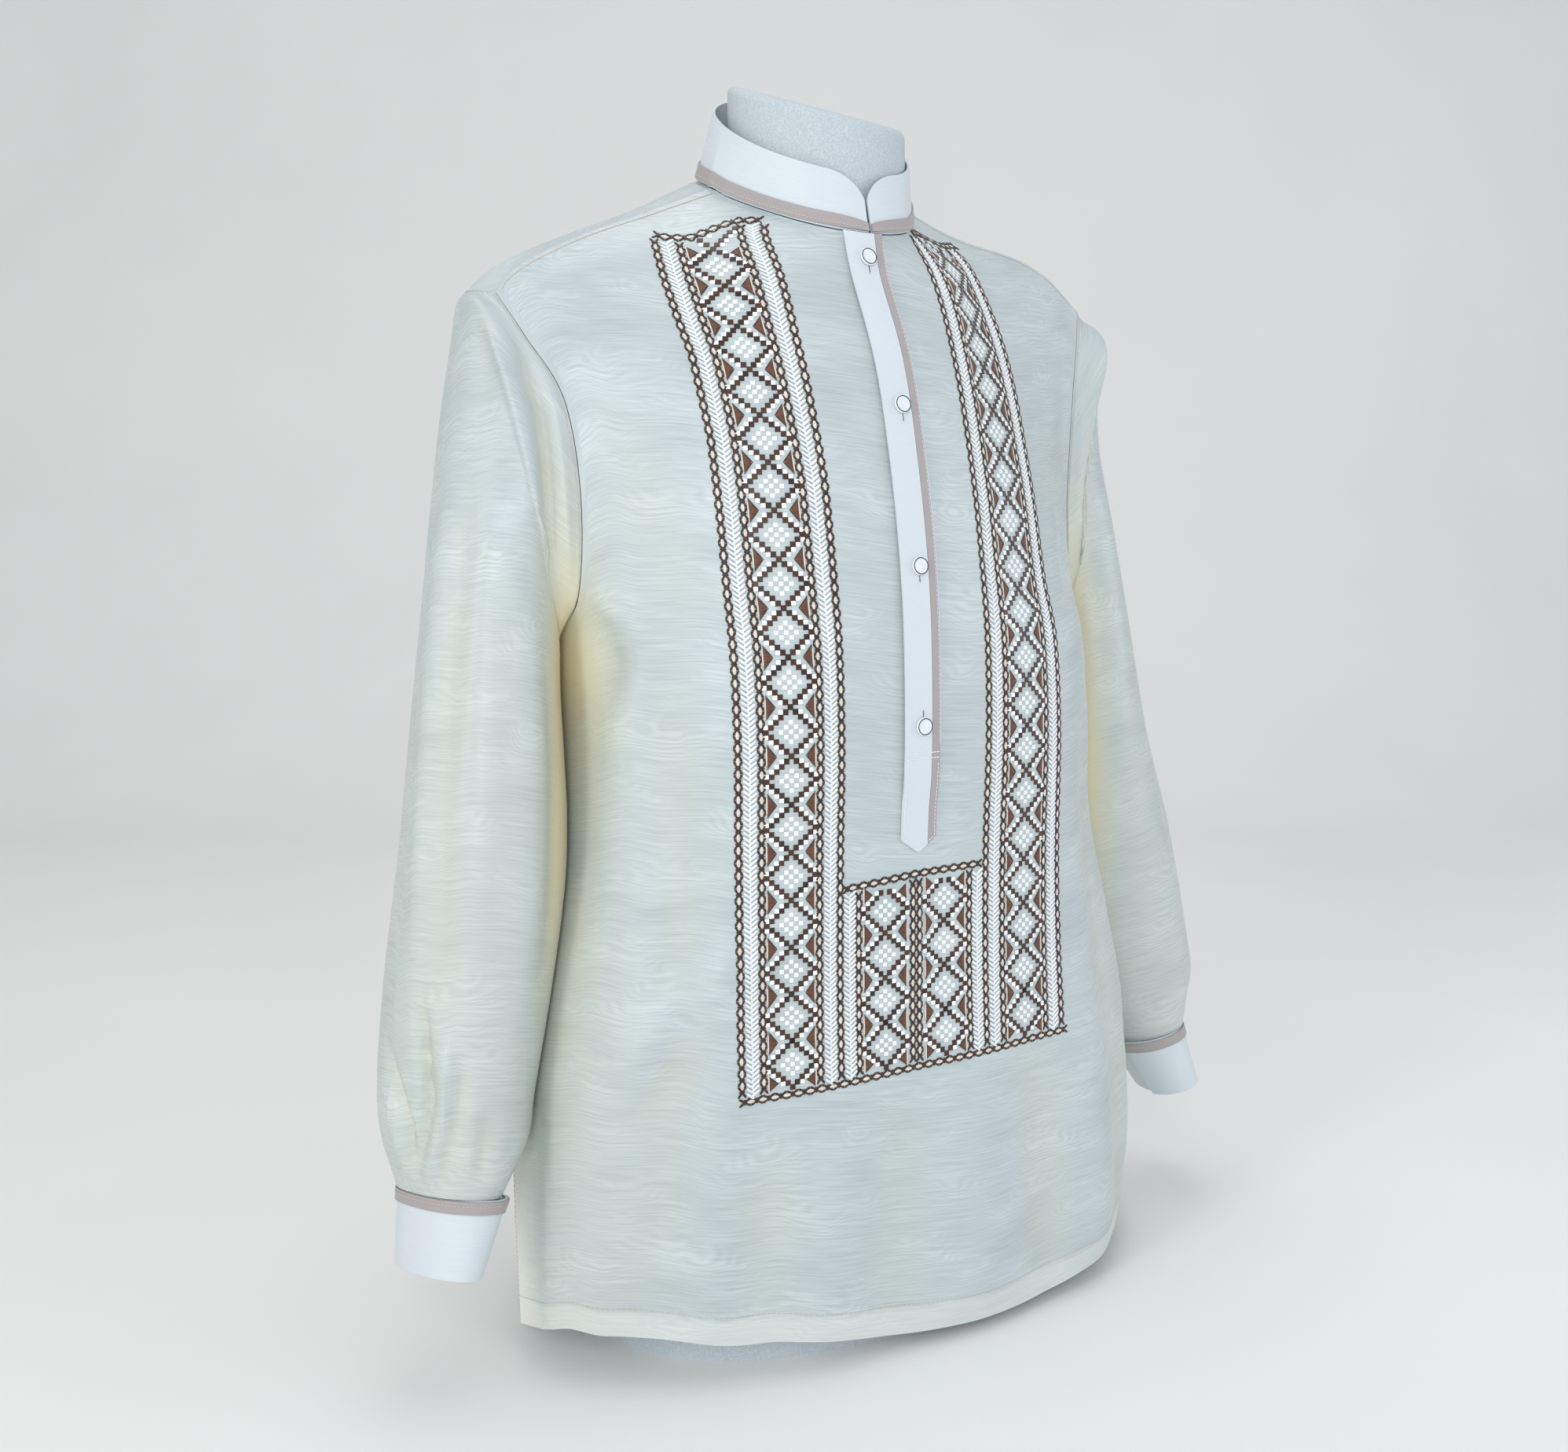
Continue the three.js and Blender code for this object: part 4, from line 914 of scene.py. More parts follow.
angle = np.linspace(0, 2 * np.pi, 144, endpoint=False)
form_points = []
for z, slope, half, front_deep, back_deep, mid, power, shift, lean in FORM_RINGS:
    c, s = np.cos(angle), np.sin(angle)
    x = half * np.sign(s) * np.abs(s) ** (2 / power)
    y = mid + np.where(c > 0, -front_deep, back_deep) * np.abs(c) ** (2 / power)
    form_points.append(np.stack([x + shift, y, z + slope * y + lean * x], 1))
form_grid = np.array(form_points)
count = len(angle)
faces = [(i * count + j, i * count + (j + 1) % count, (i + 1) * count + (j + 1) % count,
          (i + 1) * count + j) for i in range(len(form_grid) - 1) for j in range(count)]
faces += [tuple(range(count))[::-1],
          tuple(range((len(form_grid) - 1) * count, len(form_grid) * count))]
form_mesh = smooth_mesh("torso_form", (form_grid.reshape(-1, 3) / 1000).tolist(), faces, 40)
form_mesh.materials.append(form_paint)
form = add_object("torso_form", form_mesh)
print("form:", len(form_mesh.polygons), "faces")

# %% [markdown]
# ## Buttons
# Each button is a low pearly disc with a hollow middle, turned about its own axis, and a thin
# dark metal ring pressed round it. Button and ring stand square to the placket.


# %% Turned shapes
def turned(name, profiles, places, material, around=40):
    """Spins each closed profile of (radius, height) points round an axis at every place."""
    points, faces = [], []
    for centre, axis in places:
        axis = Vector(axis)
        frame_turn = np.array(axis.to_track_quat("Z", "Y").to_matrix())
        for profile in profiles:
            start, n = len(points), len(profile)
            for j in range(around):
                a = 2 * math.pi * j / around
                for r, h in profile:
                    p = frame_turn @ np.array([r * math.cos(a), r * math.sin(a), h]) + centre
                    points.append((p / 1000).tolist())
            for j in range(around):
                k = (j + 1) % around
                for i in range(n):
                    m = (i + 1) % n
                    faces.append((start + j * n + i, start + k * n + i,
                                  start + k * n + m, start + j * n + m))
    mesh = smooth_mesh(name, points, faces, 60)
    mesh.materials.append(material)
    return add_object(name, mesh)


disc = [(0.02, 0), (4.6, 0), (5.5, 0.7), (5.75, 1.3), (5.6, 2.0), (5.1, 2.35), (4.5, 2.3),
        (4.0, 1.85), (3.2, 1.72), (0.02, 1.7)]
ring = [(4.95 + 0.33 * math.cos(a), 2.32 + 0.26 * math.sin(a))
        for a in np.linspace(0, 2 * math.pi, 10, endpoint=False)]
button_places = []
for height in BUTTON_HEIGHTS:
    row = float(row_at(height))
    centre = on_front(0.0, float(height), float(placket_lift(1.0) + CLOTH_WALL + SEAM_GAP))
    button_places.append((np.array(centre, float), panel_normal(-1, 0.0, row).tolist()))
buttons = [turned(f"button_disc_{i + 1}", [disc], [place], pearl)
           for i, place in enumerate(button_places)]
rings = turned("button_rings", [ring], button_places, ring_metal)
print("buttons:", len(buttons))

# %% [markdown]
# ## The embroidery's ground
# A machine embroiders the flat front before it is sewn, so the pattern's lines keep their
# distance in cloth millimetres. Level slices through the front give the length along the cloth
# from its middle, and with it a way from flat measures to a point on the folded cloth.

# %% From flat measures to the front's surface
slice_heights = np.linspace(150, 745, 150)
slice_shares = np.linspace(-0.97, 0.97, 161)
fine_rows = np.linspace(0, LAST_ROW, 331)
share_all, row_all = np.meshgrid(slice_shares, fine_rows)
fine = panel(-1, share_all, row_all)
rows_there = np.array([np.interp(-slice_heights, -fine[:, j, 2], fine_rows)
                       for j in range(len(slice_shares))]).T
level_points = panel(-1, np.broadcast_to(slice_shares, rows_there.shape), rows_there)
steps = np.linalg.norm(np.diff(level_points, axis=1), axis=2)
along_level = np.concatenate([np.zeros((len(steps), 1)), np.cumsum(steps, 1)], 1)
for i, line in enumerate(level_points):
    along_level[i] -= np.interp(0, line[:, 0], along_level[i])
ACROSS = np.linspace(-190, 190, 191)
share_table = np.array([np.interp(ACROSS, along_level[i], slice_shares)
                        for i in range(len(slice_heights))])
row_table = np.array([np.interp(share_table[i], slice_shares, rows_there[i])
                      for i in range(len(slice_heights))])


def between(table, across, height):
    i = np.clip((height - slice_heights[0]) / (slice_heights[1] - slice_heights[0]), 0,
                len(slice_heights) - 1.001)
    j = np.clip((across - ACROSS[0]) / (ACROSS[1] - ACROSS[0]), 0, len(ACROSS) - 1.001)
    a, b = i.astype(int), j.astype(int)
    s, t = i - a, j - b
    return ((table[a, b] * (1 - t) + table[a, b + 1] * t) * (1 - s)
            + (table[a + 1, b] * (1 - t) + table[a + 1, b + 1] * t) * s)


def flare(across, height):
    """Over the curved upper chest the cloth's upright threads lean outwards, here as measured."""
    inner = np.interp(height, [560, 584, 650, 687, 722], [0, 1, 4.7, 5, 9])
    outer = np.interp(height, [584, 635, 657, 682, 712], [0, 4.2, 8.6, 11.7, 12.3])
    far = np.clip((np.abs(across) - 59) / 65, 0, 1)
    left = (inner * (1 - far) + outer * far) * np.clip(np.abs(across) / 59, 0, 1)
    return np.where(across < 0, -left, 0.4 * far * outer)


def on_cloth(across, height):
    """Point and normal on the folded front, from millimetres across the cloth and a height."""
    across, height = np.broadcast_arrays(np.asarray(across, float), np.asarray(height, float))
    across = across + flare(across, height)
    share, row = between(share_table, across, height), between(row_table, across, height)
    point, normal, _ = panel_cloth(-1, share, row)
    return point, normal


def across_at(x, height):
    level_x = between(np.array([np.interp(share_table[i], slice_shares, level_points[i, :, 0])
                                for i in range(len(slice_heights))]), ACROSS[:, None] * 1.0,
                      np.full((len(ACROSS), 1), float(height)))[:, 0]
    return float(np.interp(x, level_x, ACROSS))


print("cloth from the middle to x = 120 at the chest:", round(across_at(120, 600), 1))

# %% [markdown]
# ## Stitches
# Two small shapes make the whole pattern: a low cushion of satin stitch and a strand with
# pointed ends, a single bundle of thread. Geometry Nodes sets one on every point of a mesh, and
# each point carries its own turn, size and tone.


# %% Two shapes of stitch and the tree that repeats them
def small_shape(name, points, faces, smooth):
    mesh = bpy.data.meshes.new(name)
    mesh.from_pydata(points, [], faces)
    layer = mesh.uv_layers.new(name="cloth")
    for loop in mesh.loops:
        layer.data[loop.index].uv = (points[loop.vertex_index][0], points[loop.vertex_index][1])
    mesh.polygons.foreach_set("use_smooth", [smooth] * len(mesh.polygons))
    return bpy.data.objects.new(name, mesh)


ticks = [-0.5, -0.44, 0.44, 0.5]
square_points = [(x, y, 1.0 if max(abs(x), abs(y)) < 0.47 else 0.0)
                 for y in ticks for x in ticks]
square_faces = [(r * 4 + c, r * 4 + c + 1, r * 4 + c + 5, r * 4 + c + 4)
                for r in range(3) for c in range(3)]
square_faces.append((0, 4, 8, 12, 13, 14, 15, 11, 7, 3, 2, 1))
satin_square = small_shape("satin_square", square_points, square_faces, False)
strand_points, strand_faces = [], []
for x, wide in ((-0.5, 0.45), (-0.4, 0.9), (0, 1.0), (0.4, 0.9), (0.5, 0.45)):
    strand_points += [(x, -wide / 2, 0.0), (x, -wide / 4, 0.85 * wide), (x, wide / 4, 0.85 * wide),
                      (x, wide / 2, 0.0)]
for r in range(4):
    for c in range(4):
        d = (c + 1) % 4
        strand_faces.append((r * 4 + d, r * 4 + c, r * 4 + 4 + c, r * 4 + 4 + d))
strand_faces += [(0, 1, 2, 3), (19, 18, 17, 16)]
strand = small_shape("thread_strand", strand_points, strand_faces, True)

repeat = bpy.data.node_groups.new("repeat_stitch", "GeometryNodeTree")
repeat.interface.new_socket("Geometry", in_out="INPUT", socket_type="NodeSocketGeometry")
shape_socket = repeat.interface.new_socket("Stitch", in_out="INPUT",
                                           socket_type="NodeSocketObject")
thread_socket = repeat.interface.new_socket("Thread", in_out="INPUT",
                                            socket_type="NodeSocketMaterial")
repeat.interface.new_socket("Geometry", in_out="OUTPUT", socket_type="NodeSocketGeometry")
start_node = node(repeat, "NodeGroupInput")
info = node(repeat, "GeometryNodeObjectInfo", {"transform_space": "ORIGINAL"},
            {"Object": (start_node, "Stitch")})
turn_in, size_in = (node(repeat, "GeometryNodeInputNamedAttribute",
                         {"data_type": "FLOAT_VECTOR"}, {"Name": name})
                    for name in ("turn", "size"))
euler = node(repeat, "FunctionNodeEulerToRotation", inputs={"Euler": (turn_in, "Attribute")})
placed = node(repeat, "GeometryNodeInstanceOnPoints",
              inputs={"Points": (start_node, "Geometry"), "Instance": (info, "Geometry"),
                      "Rotation": (euler, "Rotation"), "Scale": (size_in, "Attribute")})
real = node(repeat, "GeometryNodeRealizeInstances", inputs={"Geometry": (placed, "Instances")})
finish_node = node(repeat, "GeometryNodeSetMaterial",
                   inputs={"Geometry": (real, "Geometry"), "Material": (start_node, "Thread")})
node(repeat, "NodeGroupOutput", inputs={"Geometry": (finish_node, "Geometry")})
print("stitch shapes:", len(square_faces), "and", len(strand_faces), "faces")


# %% Sewing one colour
def sew(name, shape, thread, rows):
    """rows: (start points, end points, normals, width, height, tone), all lengths in mm."""
    start, end, normal = (np.concatenate([np.reshape(r[k], (-1, 3)) for r in rows])
                          for k in range(3))
    wide, high, tone = (np.concatenate([np.broadcast_to(r[k], np.reshape(r[0], (-1, 3)).shape[:1])
                                        for r in rows]) for k in (3, 4, 5))
    along = end - start
    length = np.linalg.norm(along, axis=1)
    x_axis = unit(along)
    y_axis = unit(np.cross(normal, x_axis))
    z_axis = np.cross(x_axis, y_axis)
    turn = np.stack([np.arctan2(y_axis[:, 2], z_axis[:, 2]),
                     -np.arcsin(np.clip(x_axis[:, 2], -1, 1)),
                     np.arctan2(x_axis[:, 1], x_axis[:, 0])], 1)
    size = np.stack([length, wide, high], 1) / 1000
    mesh = bpy.data.meshes.new(name)
    mesh.from_pydata(((start + end) / 2000).tolist(), [], [])
    for attribute, kind, key, values in (("turn", "FLOAT_VECTOR", "vector", turn),
                                         ("size", "FLOAT_VECTOR", "vector", size),
                                         ("tone", "FLOAT", "value", tone)):
        made = mesh.attributes.new(attribute, kind, "POINT")
        made.data.foreach_set(key, np.ascontiguousarray(values, float).ravel())
    holder = add_object(name + "_points", mesh)
    modifier = holder.modifiers.new("stitches", "NODES")
    modifier.node_group = repeat
    modifier[shape_socket.identifier] = shape
    modifier[thread_socket.identifier] = thread
    graph = bpy.context.evaluated_depsgraph_get()
    solid = bpy.data.meshes.new_from_object(holder.evaluated_get(graph), depsgraph=graph)
    bpy.data.objects.remove(holder)
    solid.name = name
    print(f"{name}: {len(start)} stitches, {len(solid.polygons)} faces")
    return add_object(name, solid)


rng = np.random.default_rng(11)
thread_rows = {kind: [] for kind in ("brown_square", "brown_strand", "white_square",
                                     "white_strand", "cream_strand")}


def flat_stitches(kind, start, end, wide, high, tone, spread=0.12):
    """start and end as (across, height) pairs on the flat front."""
    start, end = np.reshape(start, (-1, 2)), np.reshape(end, (-1, 2))
    a, na = on_cloth(start[:, 0], start[:, 1])
    b, nb = on_cloth(end[:, 0], end[:, 1])
    lift = (na + nb) * 0.08
    tones = np.clip(tone + rng.uniform(-spread, spread, len(a)), 0, 1)
    thread_rows[kind].append((a + lift, b + lift, unit(na + nb), wide, high, tones))


# %% [markdown]
# ## The pattern
# Two bands run from the shoulders to a block above the hem. Each band is a column of diamonds
# of counted squares between borders of crossed strokes and a white plait. Such geometric
# bands are common to many weaving and cross-stitch traditions; this repeat is charted.

# %% Lines and borders
MIDDLE, STEP, CROSS_PITCH, BORDER_HALF, LENS_HALF = -4.9, 3.1, 7.6, 2.5, 2.5
PLAIT_PITCH, PLAIT_HALF, PLAIT_CROSS, PLAIT_SLANT = 3.1, 4.2, 0.7, 4
# distances of the upright lines from the middle of the pattern
BORDER_LINES, PLAIT_LINES, BAND_COLUMN = (54.2, 68.2, 105.2, 119.2), (61, 112.2), 86.7
BLOCK_BORDER, BLOCK_SEAM, BLOCK_PLAIT, BLOCK_COLUMN = 41.3, 2.5, 47.5, 22.4
TOP_LEFT = [(-123, 712), (-114.6, 709.4), (-102.4, 709.5), (-90.8, 714.5), (-73, 721.8),
            (-57.8, 722.1)]
TOP_RIGHT = [(48.8, 722.1), (62, 724), (76, 721), (88, 719.5), (98, 721), (108, 723)]
BOTTOM_LINE = [(-125, 187.6), (0.5, 192.6), (119, 194.7)]
BLOCK_TOP = [(-57.7, 313.3), (-5, 317.3), (46.5, 318.1)]


def flat_line(line):
    flat = []
    for x, z in line:
        there = across = across_at(x, z)
        for _ in range(8):
            across = there - float(flare(across, z))
        flat.append((across, z))
    return np.array(flat)


top_left, top_right, bottom_line, block_top = (flat_line(v) for v in (TOP_LEFT, TOP_RIGHT,
                                                                      BOTTOM_LINE, BLOCK_TOP))


class Run:
    """A line straight down the cloth: along it v runs in mm of cloth from the lower end."""

    def __init__(self, offset, low, high):
        self.across = MIDDLE + offset
        self.z = np.linspace(low, high, 240)
        point, _ = on_cloth(self.across, self.z)
        steps = np.linalg.norm(np.diff(point, axis=0), axis=1)
        self.v = np.concatenate([[0], np.cumsum(steps)])
        self.length = self.v[-1]

    def at(self, sideways, v):
        sideways, v = np.broadcast_arrays(np.asarray(sideways, float), np.asarray(v, float))
        beyond = np.where(v < 0, v, np.where(v > self.length, v - self.length, 0))
        return np.stack([self.across + sideways,
                         np.interp(v, self.v, self.z) + beyond], -1).reshape(-1, 2)


class Level:
    """A line across the cloth along a few given points, for the borders at top and bottom."""

    def __init__(self, line):
        self.line = np.array(line)
        steps = np.linalg.norm(np.diff(self.line, axis=0), axis=1)
        self.v = np.concatenate([[0], np.cumsum(steps)])
        self.length = self.v[-1]

    def at(self, sideways, v):
        sideways, v = (a.ravel() for a in np.broadcast_arrays(np.asarray(sideways, float),
                                                              np.asarray(v, float)))
        a = np.stack([np.interp(v, self.v, self.line[:, k]) for k in (0, 1)], -1)
        b = np.stack([np.interp(v + 3, self.v, self.line[:, k]) for k in (0, 1)], -1)
        c = np.stack([np.interp(v - 3, self.v, self.line[:, k]) for k in (0, 1)], -1)
        along = (b - c) / np.maximum(np.linalg.norm(b - c, axis=1, keepdims=True), 1e-9)
        return a + np.stack([along[:, 1], -along[:, 0]], -1) * sideways[:, None]


def crossed_border(run):
    count = max(int(round(run.length / CROSS_PITCH)), 1)
    pitch = run.length / count
    v = (np.arange(count) + 0.5) * pitch
    reach = pitch / 2 * 0.97
    for side in (-1, 1):
        flat_stitches("brown_strand", run.at(-BORDER_HALF * side, v - reach),
                      run.at(BORDER_HALF * side, v + reach), 1.7, 0.55, 0.15)
    flat_stitches("brown_strand", run.at(-1.9, v), run.at(1.9, v), 1.2, 0.65, 0.1)
    gaps = np.arange(1, count) * pitch
    flat_stitches("cream_strand", run.at(0, gaps - LENS_HALF), run.at(0, gaps + LENS_HALF),
                  2.7, 0.4, 0.7, 0.3)


def plait(run):
    v = np.arange(2.0, run.length - 1, PLAIT_PITCH)
    # the two slants get different tones: painted sheen, one slant of satin catching more light
    for side, start, tone, spread in ((-1, 1, 0.4, 0.3), (1, 2.5, 0.8, 0.2)):
        flat_stitches("white_strand", run.at(side * PLAIT_HALF, v + start),
                      run.at(-side * PLAIT_CROSS, v + start - PLAIT_SLANT), 2.2, 0.9, tone, spread)


tops = {-1: top_left, 1: top_right}


def end_at(line, offset):
    """The height of a level line at an offset from the pattern's middle."""
    return float(np.interp(MIDDLE + offset, line[:, 0], line[:, 1]))


def upright(offset, top, gap_below, gap_above):
    """A run from the bottom line up to a top line, with a gap left at each end."""
    return Run(offset, end_at(bottom_line, offset) + gap_below, end_at(top, offset) - gap_above)


for side in (-1, 1):
    for offset in BORDER_LINES:
        crossed_border(upright(side * offset, tops[side], 3, 3))
    for offset in PLAIT_LINES:
        plait(upright(side * offset, tops[side], 2.5, 3))
    crossed_border(upright(side * BLOCK_BORDER, block_top, 3, 3))
    crossed_border(Run(side * BLOCK_SEAM, end_at(bottom_line, 0) + 3, end_at(block_top, 0) - 3))
    plait(upright(side * BLOCK_PLAIT, block_top, 2.5, 2.5))
for line in (top_left, top_right, bottom_line, block_top):
    crossed_border(Level(line))
print("borders:", sum(len(r[0]) for rows in thread_rows.values() for r in rows), "stitches")


# %% Diamonds, flowers and triangles
DIAMOND, BORDER_ROOM = 29, 3.6


def triangle(run, v, side, base=15.0, apex=9.7, half=7.3):
    steps = np.arange(-half + 0.7, half - 0.6, 1.02)
    inner = apex + np.abs(steps) / half * (base - apex)
    flat_stitches("brown_strand", run.at(side * inner, v + steps), run.at(side * base, v + steps),
                  1.25, 0.45, 0.85, 0.15)
    for end in (-1, 1):
        flat_stitches("brown_strand", run.at(side * (apex - 0.5), v - end * 0.2),
                      run.at(side * (base + 0.2), v + end * half), 0.7, 0.55, 0.15)
    flat_stitches("cream_strand", run.at(side * 15.4, v - 5.5), run.at(side * 15.4, v + 5.5),
                  1.3, 0.5, 0.6)


def diamonds(run, count, above, limit):
    """count whole diamonds on the run, and part ones above it where the limits leave room."""
    pitch = run.length / count
    dark, light, flower = [], [], []
    for k in range(count + above):
        for j in range(11):
            v = (k + j / 10) * pitch
            out = 5 - abs(j - 5)
            dark += [(s * out * STEP, v) for s in ((-1, 1) if out else (1,))
                     if out or k == 0 or j == 0]
            if j not in (0, 5, 10):
                light += [(s * (out + 1) * STEP, v) for s in (-1, 1)]
            for i in range(-2, 3):
                if abs(i) + abs(j - 5) <= 2 and (i + j - 5) % 2 == 0:
                    flower.append((i * STEP, v))
    for kind, spots, size, high, tone, spread in (
            ("brown_square", dark, 3.6, 0.4, 0.2, 0.16),
            ("white_square", light, 3.05, 0.3, 0.95, 0.05),
            ("white_square", flower, 2.9, 0.3, 0.9, 0.1)):
        spots = np.array(spots)
        flat = run.at(spots[:, 0], spots[:, 1])
        low, top = limit(flat[:, 0])
        spots = spots[(flat[:, 1] > low + BORDER_ROOM) & (flat[:, 1] < top - BORDER_ROOM)]
        half = size / 2
        flat_stitches(kind, run.at(spots[:, 0] - half, spots[:, 1]),
                      run.at(spots[:, 0] + half, spots[:, 1]), size, high, tone, spread)
    for k in range(count + 1):
        inward = 3.5 if k == 0 else -3.5 if k == count else 0
        for side in (-1, 1):
            triangle(run, k * pitch + inward, side, half=4.6 if inward else 7.3)


def limits(ends):
    return lambda across: (np.interp(across, bottom_line[:, 0], bottom_line[:, 1]),
                           np.interp(across, ends[:, 0], ends[:, 1]))


for side in (-1, 1):
    run = upright(side * BAND_COLUMN, tops[side], 4.5, 13)
    diamonds(run, int(round(run.length / DIAMOND)), 1, limits(tops[side]))
    diamonds(upright(side * BLOCK_COLUMN, block_top, 4.5, 4.5), 4, 0, limits(block_top))
embroidery = [sew(f"embroidery_{name}", shape, thread, thread_rows[kind])
              for name, shape, thread, kind in (
                  ("brown_squares", satin_square, brown_thread, "brown_square"),
                  ("brown_strokes", strand, brown_thread, "brown_strand"),
                  ("white_squares", satin_square, white_thread, "white_square"),
                  ("white_plaits", strand, white_thread, "white_strand"),
                  ("cream_lenses", strand, cream_thread, "cream_strand"))]

# %% [markdown]
# ## Seams, topstitching and buttonholes
# Fine cream lines of stitches hold the seams. Each is a row of single strands a few millimetres
# long. The placket is closed below by two rows of cross stitch, and each buttonhole is a short
# upright slit between two columns of close white stitches.


# %% Rows of stitches along edges
sewing = {"white": [], "cream": [], "dark": []}


def dashes(colour, line, normal, pitch=3.1, length=2.3, wide=0.5, high=0.35, tone=0.6, lift=0.12):
    """Stitches along a line of points, each with the normal of the cloth below it."""
    line, normal = np.asarray(line, float), np.asarray(normal, float)
    run = np.concatenate([[0], np.cumsum(np.linalg.norm(np.diff(line, axis=0), axis=1))])
    starts = np.arange(0.5, run[-1] - length, pitch)

    def at(v, values):
        return np.stack([np.interp(v, run, values[:, k]) for k in range(3)], 1)

    n = unit(at(starts + length / 2, normal))
    sewing[colour].append((at(starts, line) + n * lift, at(starts + length, line) + n * lift, n,
                           wide, high, tone))


def grid_line(grid, turn, row):
    return grid[row], grid_normals(grid, False, turn)[row]


for shares in (np.linspace(-0.985, -NECK_HALF_SHARE, 90), np.linspace(NECK_HALF_SHARE, 0.985, 90)):
    line, normal, _ = panel_cloth(-1, shares, np.full(90, 0.07))
    dashes("cream", line, normal, 3.0, 2.9, 0.7, 0.4, 0.75)
for grid, sign in ((right_grid, -1), (left_grid, 1)):
    dashes("cream", *grid_line(grid, sign, 1), 3.0, 2.9, 0.6, 0.35, 0.35)
for grid, uv, side in ((front_grid, front_uv, -1), (back_grid, back_uv, 1)):
    low = np.array([np.interp(-HEM_DEPTH, -uv[:, j, 1], np.arange(len(grid)))
                    for j in range(grid.shape[1])])
    cols = np.arange(grid.shape[1])
    base = low.astype(int)
    part = (low - base)[:, None]
    line = grid[base, cols] * (1 - part) + grid[base + 1, cols] * part
    normals = grid_normals(grid, False, side)
    dashes("cream", line, normals[base, cols], 3.4, 2.4, 0.45, 0.3, 0.5)
    for edge in (0, -1):
        rows = np.nonzero(grid[:, edge, 2] < 165)[0]
        far = np.abs(uv[rows, :, 0] - uv[rows, edge, 0][:, None])
        inner = np.argmin(np.abs(far - slit_hem(grid[rows, edge, 2])[:, None]), 1)
        dashes("cream", grid[rows, inner], normals[rows, inner], 3.4, 2.4, 0.45, 0.3, 0.5)
dashes("cream", *grid_line(collar_strip_rows, 1, 3), 2.6, 2.0, 0.5, 0.3, 0.8)
for (_, grid), sign in zip(cuff_strips, (-1, 1)):
    dashes("cream", *grid_line(grid, sign, 1), 2.6, 1.9, 0.45, 0.3, 0.8)


def on_placket(across, height, lift=0.0):
    height = np.asarray(height, float)
    top = placket_lift(over_stand(height)) + CLOTH_WALL + lift
    point = on_front(across, height, top)
    other = on_front(np.asarray(across, float), height, top + 1.0)
    return point, unit(other - point)


down = np.linspace(388, 337, 40)
for across in (-11.2, 11.4):
    dashes("white", *on_placket(across, down), 2.5, 1.8, 0.55, 0.35, 0.8)
for sign in (-1, 1):
    across = strip_mid + sign * np.linspace(11, 0.3, 12)
    dashes("white", *on_placket(across, placket_end(across) + 1.9), 2.3, 1.7, 0.55, 0.35, 0.8)
for height in (391.0, 394.4):
    dashes("white", *on_placket(np.linspace(-12.2, 12.2, 30), np.full(30, height)), 2.2, 1.8,
           0.8, 0.5, 0.85)
dashes("white", *on_placket(np.full(200, 11.9), np.linspace(708, 400, 200)), 2.7, 2.0, 0.35, 0.2,
       0.7)
for i, height in enumerate(BUTTON_HEIGHTS):
    low, high = (height - 10.5, height + 1.5) if i < 3 else (height - 1.5, height + 10.5)
    steps = np.arange(low + 0.5, high, 0.75)
    for sign in (-1, 1):
        a, n = on_placket(sign * 0.25, steps, 0.05)
        b, _ = on_placket(sign * 1.35, steps, 0.05)
        sewing["white"].append((a, b, n, 0.72, 0.4, 0.7))
    # each slit is a thin dark strand: painted shade in the cut
    slit = np.array([low + 0.8, high - 0.8])
    line, n = on_placket(0.0, slit, 0.12)
    sewing["dark"].append((line[:1], line[1:], n[:1], 0.5, 0.25, 0.1))
stitching = [sew("white_topstitching", strand, white_thread, sewing["white"]),
             sew("cream_seam_stitches", strand, seam_thread, sewing["cream"]),
             sew("buttonhole_slits", strand, brown_thread, sewing["dark"])]

# %% [markdown]
# ## Handing the pieces over
# Every piece rides on the part's one body and takes the place of its plain CAD solid. For
# cloth, the size of the flat piece that it was cut from is printed.


# %% Ride, replace and flat cuts
def flat_size(uv):
    width = float((uv[..., 0].max(1) - uv[..., 0].min(1)).max())
    length = float(uv[..., 1].max() - uv[..., 1].min())
    return round(width / 1000, 3), round(length / 1000, 3)


def piece(made, nodes):
    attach(made, "root")
    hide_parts(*nodes)


def sheet_piece(made, nodes, slot, flat, held, rests_on, **more):
    piece(made, nodes)
    print(f"{made.name}: cut {flat[0] * 1000:.0f} x {flat[1] * 1000:.0f} mm")


def cloth_area(made):
    return sum(p.area for p in made.data.polygons) / 2


# flat sizes in metres of the pieces that are not cut as the grid lies
SLEEVE_FLAT, PLACKET_FLAT, STAND_FLAT = (0.36, 0.56), (0.0195, 0.384), (0.0206, 0.312)
sheet_piece(front, ["front"], "cloth", flat_size(front_uv), "hung", ["torso_form"],
            with_pieces=embroidery)
sheet_piece(back, ["back"], "cloth", flat_size(back_uv), "hung", ["torso_form"])
sheet_piece(sleeve_right, ["sleeve_right"], "cloth", SLEEVE_FLAT, "hung", ["front_panel"])
sheet_piece(sleeve_left, ["sleeve_left"], "cloth", SLEEVE_FLAT, "hung", ["front_panel"])
piece(collar_strip, ["collar_trim"])
sheet_piece(collar, ["collar"], "band", flat_size(collar_uv), "hung", ["front_panel"],
            with_pieces=[collar_strip])
for (made, uv), (strip, _) in zip(cuffs, cuff_strips):
    side_name = made.name.rsplit("_", 1)[1]
    piece(strip, [f"cuff_trim_{side_name}"])
    sheet_piece(made, [f"cuff_{side_name}"], "band", flat_size(uv), "hung",
                [f"sleeve_cloth_{side_name}"], with_pieces=[strip])
piece(placket_strip, ["placket_trim"])
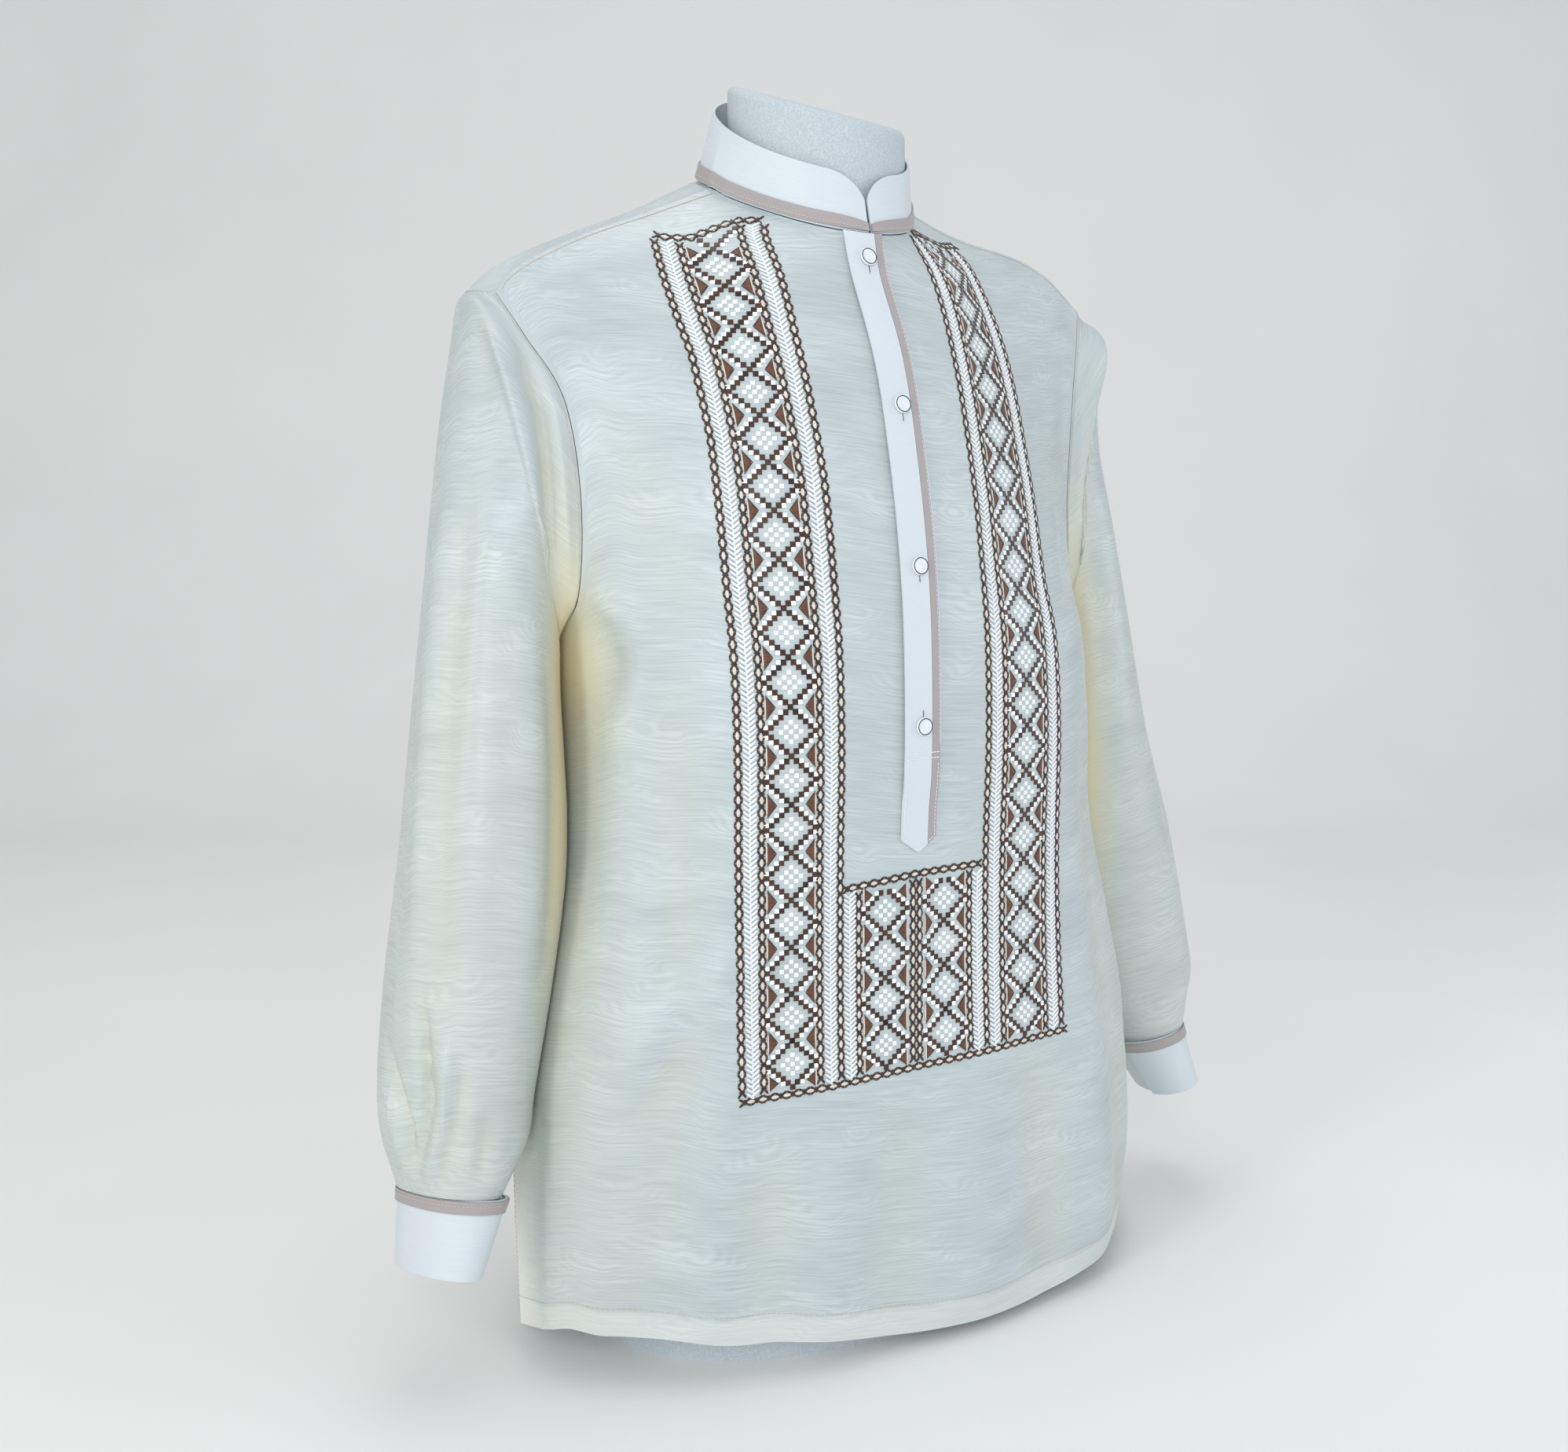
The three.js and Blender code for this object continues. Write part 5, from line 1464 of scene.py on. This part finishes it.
sheet_piece(placket, ["placket"], "band", PLACKET_FLAT, "hung", ["front_panel"],
            with_pieces=[placket_strip])
sheet_piece(placket_under, ["placket_under"], "band", STAND_FLAT, "hung", ["front_panel"])
for made in [front, back, sleeve_right, sleeve_left, collar, placket, placket_under]:
    print(made.name, "area", round(cloth_area(made), 4), "m2")
for i, made in enumerate(buttons):
    piece(made, [f"button_{i + 1}"])
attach(rings, "root")
for made in embroidery + stitching:
    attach(made, "root")
piece(form, ["dress_form"])

# %% [markdown]
# ## Stage and light
# A plain pale floor with a wall that curves up from it, two tall soft lights from the left and
# the front left, a weaker one from the right, one above and an even pale surrounding light.

# %% Floor, wall and lamps
backdrop, tree, shader = new_material("painted_plaster_backdrop", "#f2f2f0")
colour = blend_colours(tree, noise(tree, 3.0), linear("#eeeeec"), linear("#f6f6f4"))
wire(tree, shader, {"Base Color": colour, "Roughness": 0.9})
FLOOR_FRONT, FLOOR_BACK, WALL_ROUND, WALL_TOP, HALF_WIDTH = -3.0, 1.4, 0.8, 3.5, 4.0
profile = [(FLOOR_FRONT, 0.0), (FLOOR_BACK, 0.0)]
profile += [(FLOOR_BACK + WALL_ROUND * math.sin(a), WALL_ROUND - WALL_ROUND * math.cos(a))
            for a in np.linspace(0, math.pi / 2, 16)[1:]]
profile += [(FLOOR_BACK + WALL_ROUND, WALL_TOP)]
sweep = [(x, y, z) for x in (-HALF_WIDTH, HALF_WIDTH) for y, z in profile]
n = len(profile)
stage_mesh = bpy.data.meshes.new("backdrop")
stage_mesh.from_pydata(sweep, [], [(i, i + n, i + n + 1, i + 1) for i in range(n - 1)])
stage_mesh.polygons.foreach_set("use_smooth", [True] * (n - 1))
stage_mesh.materials.append(backdrop)
stage = add_object("backdrop", stage_mesh)
stage.rotation_euler = (0, 0, azimuth)


def lamp(name, at, aim, size, power, colour, tall=None):
    light = bpy.data.lights.new(name, "AREA")
    light.shape, light.size, light.energy = "RECTANGLE" if tall else "DISK", size, power
    if tall:
        light.size_y = tall
    light.color = linear(colour)[:3]
    made = add_object(name, light)
    made.location = at
    made.rotation_euler = (Vector(aim) - Vector(at)).to_track_quat("-Z", "Y").to_euler()
    return made


lamps = [lamp("soft_key", (-2.0, -0.75, 1.2), (0, 0, 0.45), 0.4, 10, "#fffdf8", 1.5),
         lamp("front_fill", (-1.15, -1.95, 1.1), (0, 0, 0.4), 0.6, 18, "#f6f9ff", 1.6),
         lamp("soft_fill", (1.7, -1.2, 0.9), (0, 0, 0.4), 1.4, 7.5, "#f2f6ff"),
         lamp("top_light", (0.1, 0.2, 2.2), (0, 0, 0.4), 1.2, 7, "#ffffff")]
world = bpy.data.worlds.new("studio")
world.use_nodes = True
wire(world.node_tree, world.node_tree.nodes["Background"],
     {"Color": linear("#eef1f4"), "Strength": 0.62})
bpy.context.scene.world = world
bpy.context.scene.view_settings.view_transform = "Standard"
print("lamps:", len(lamps))
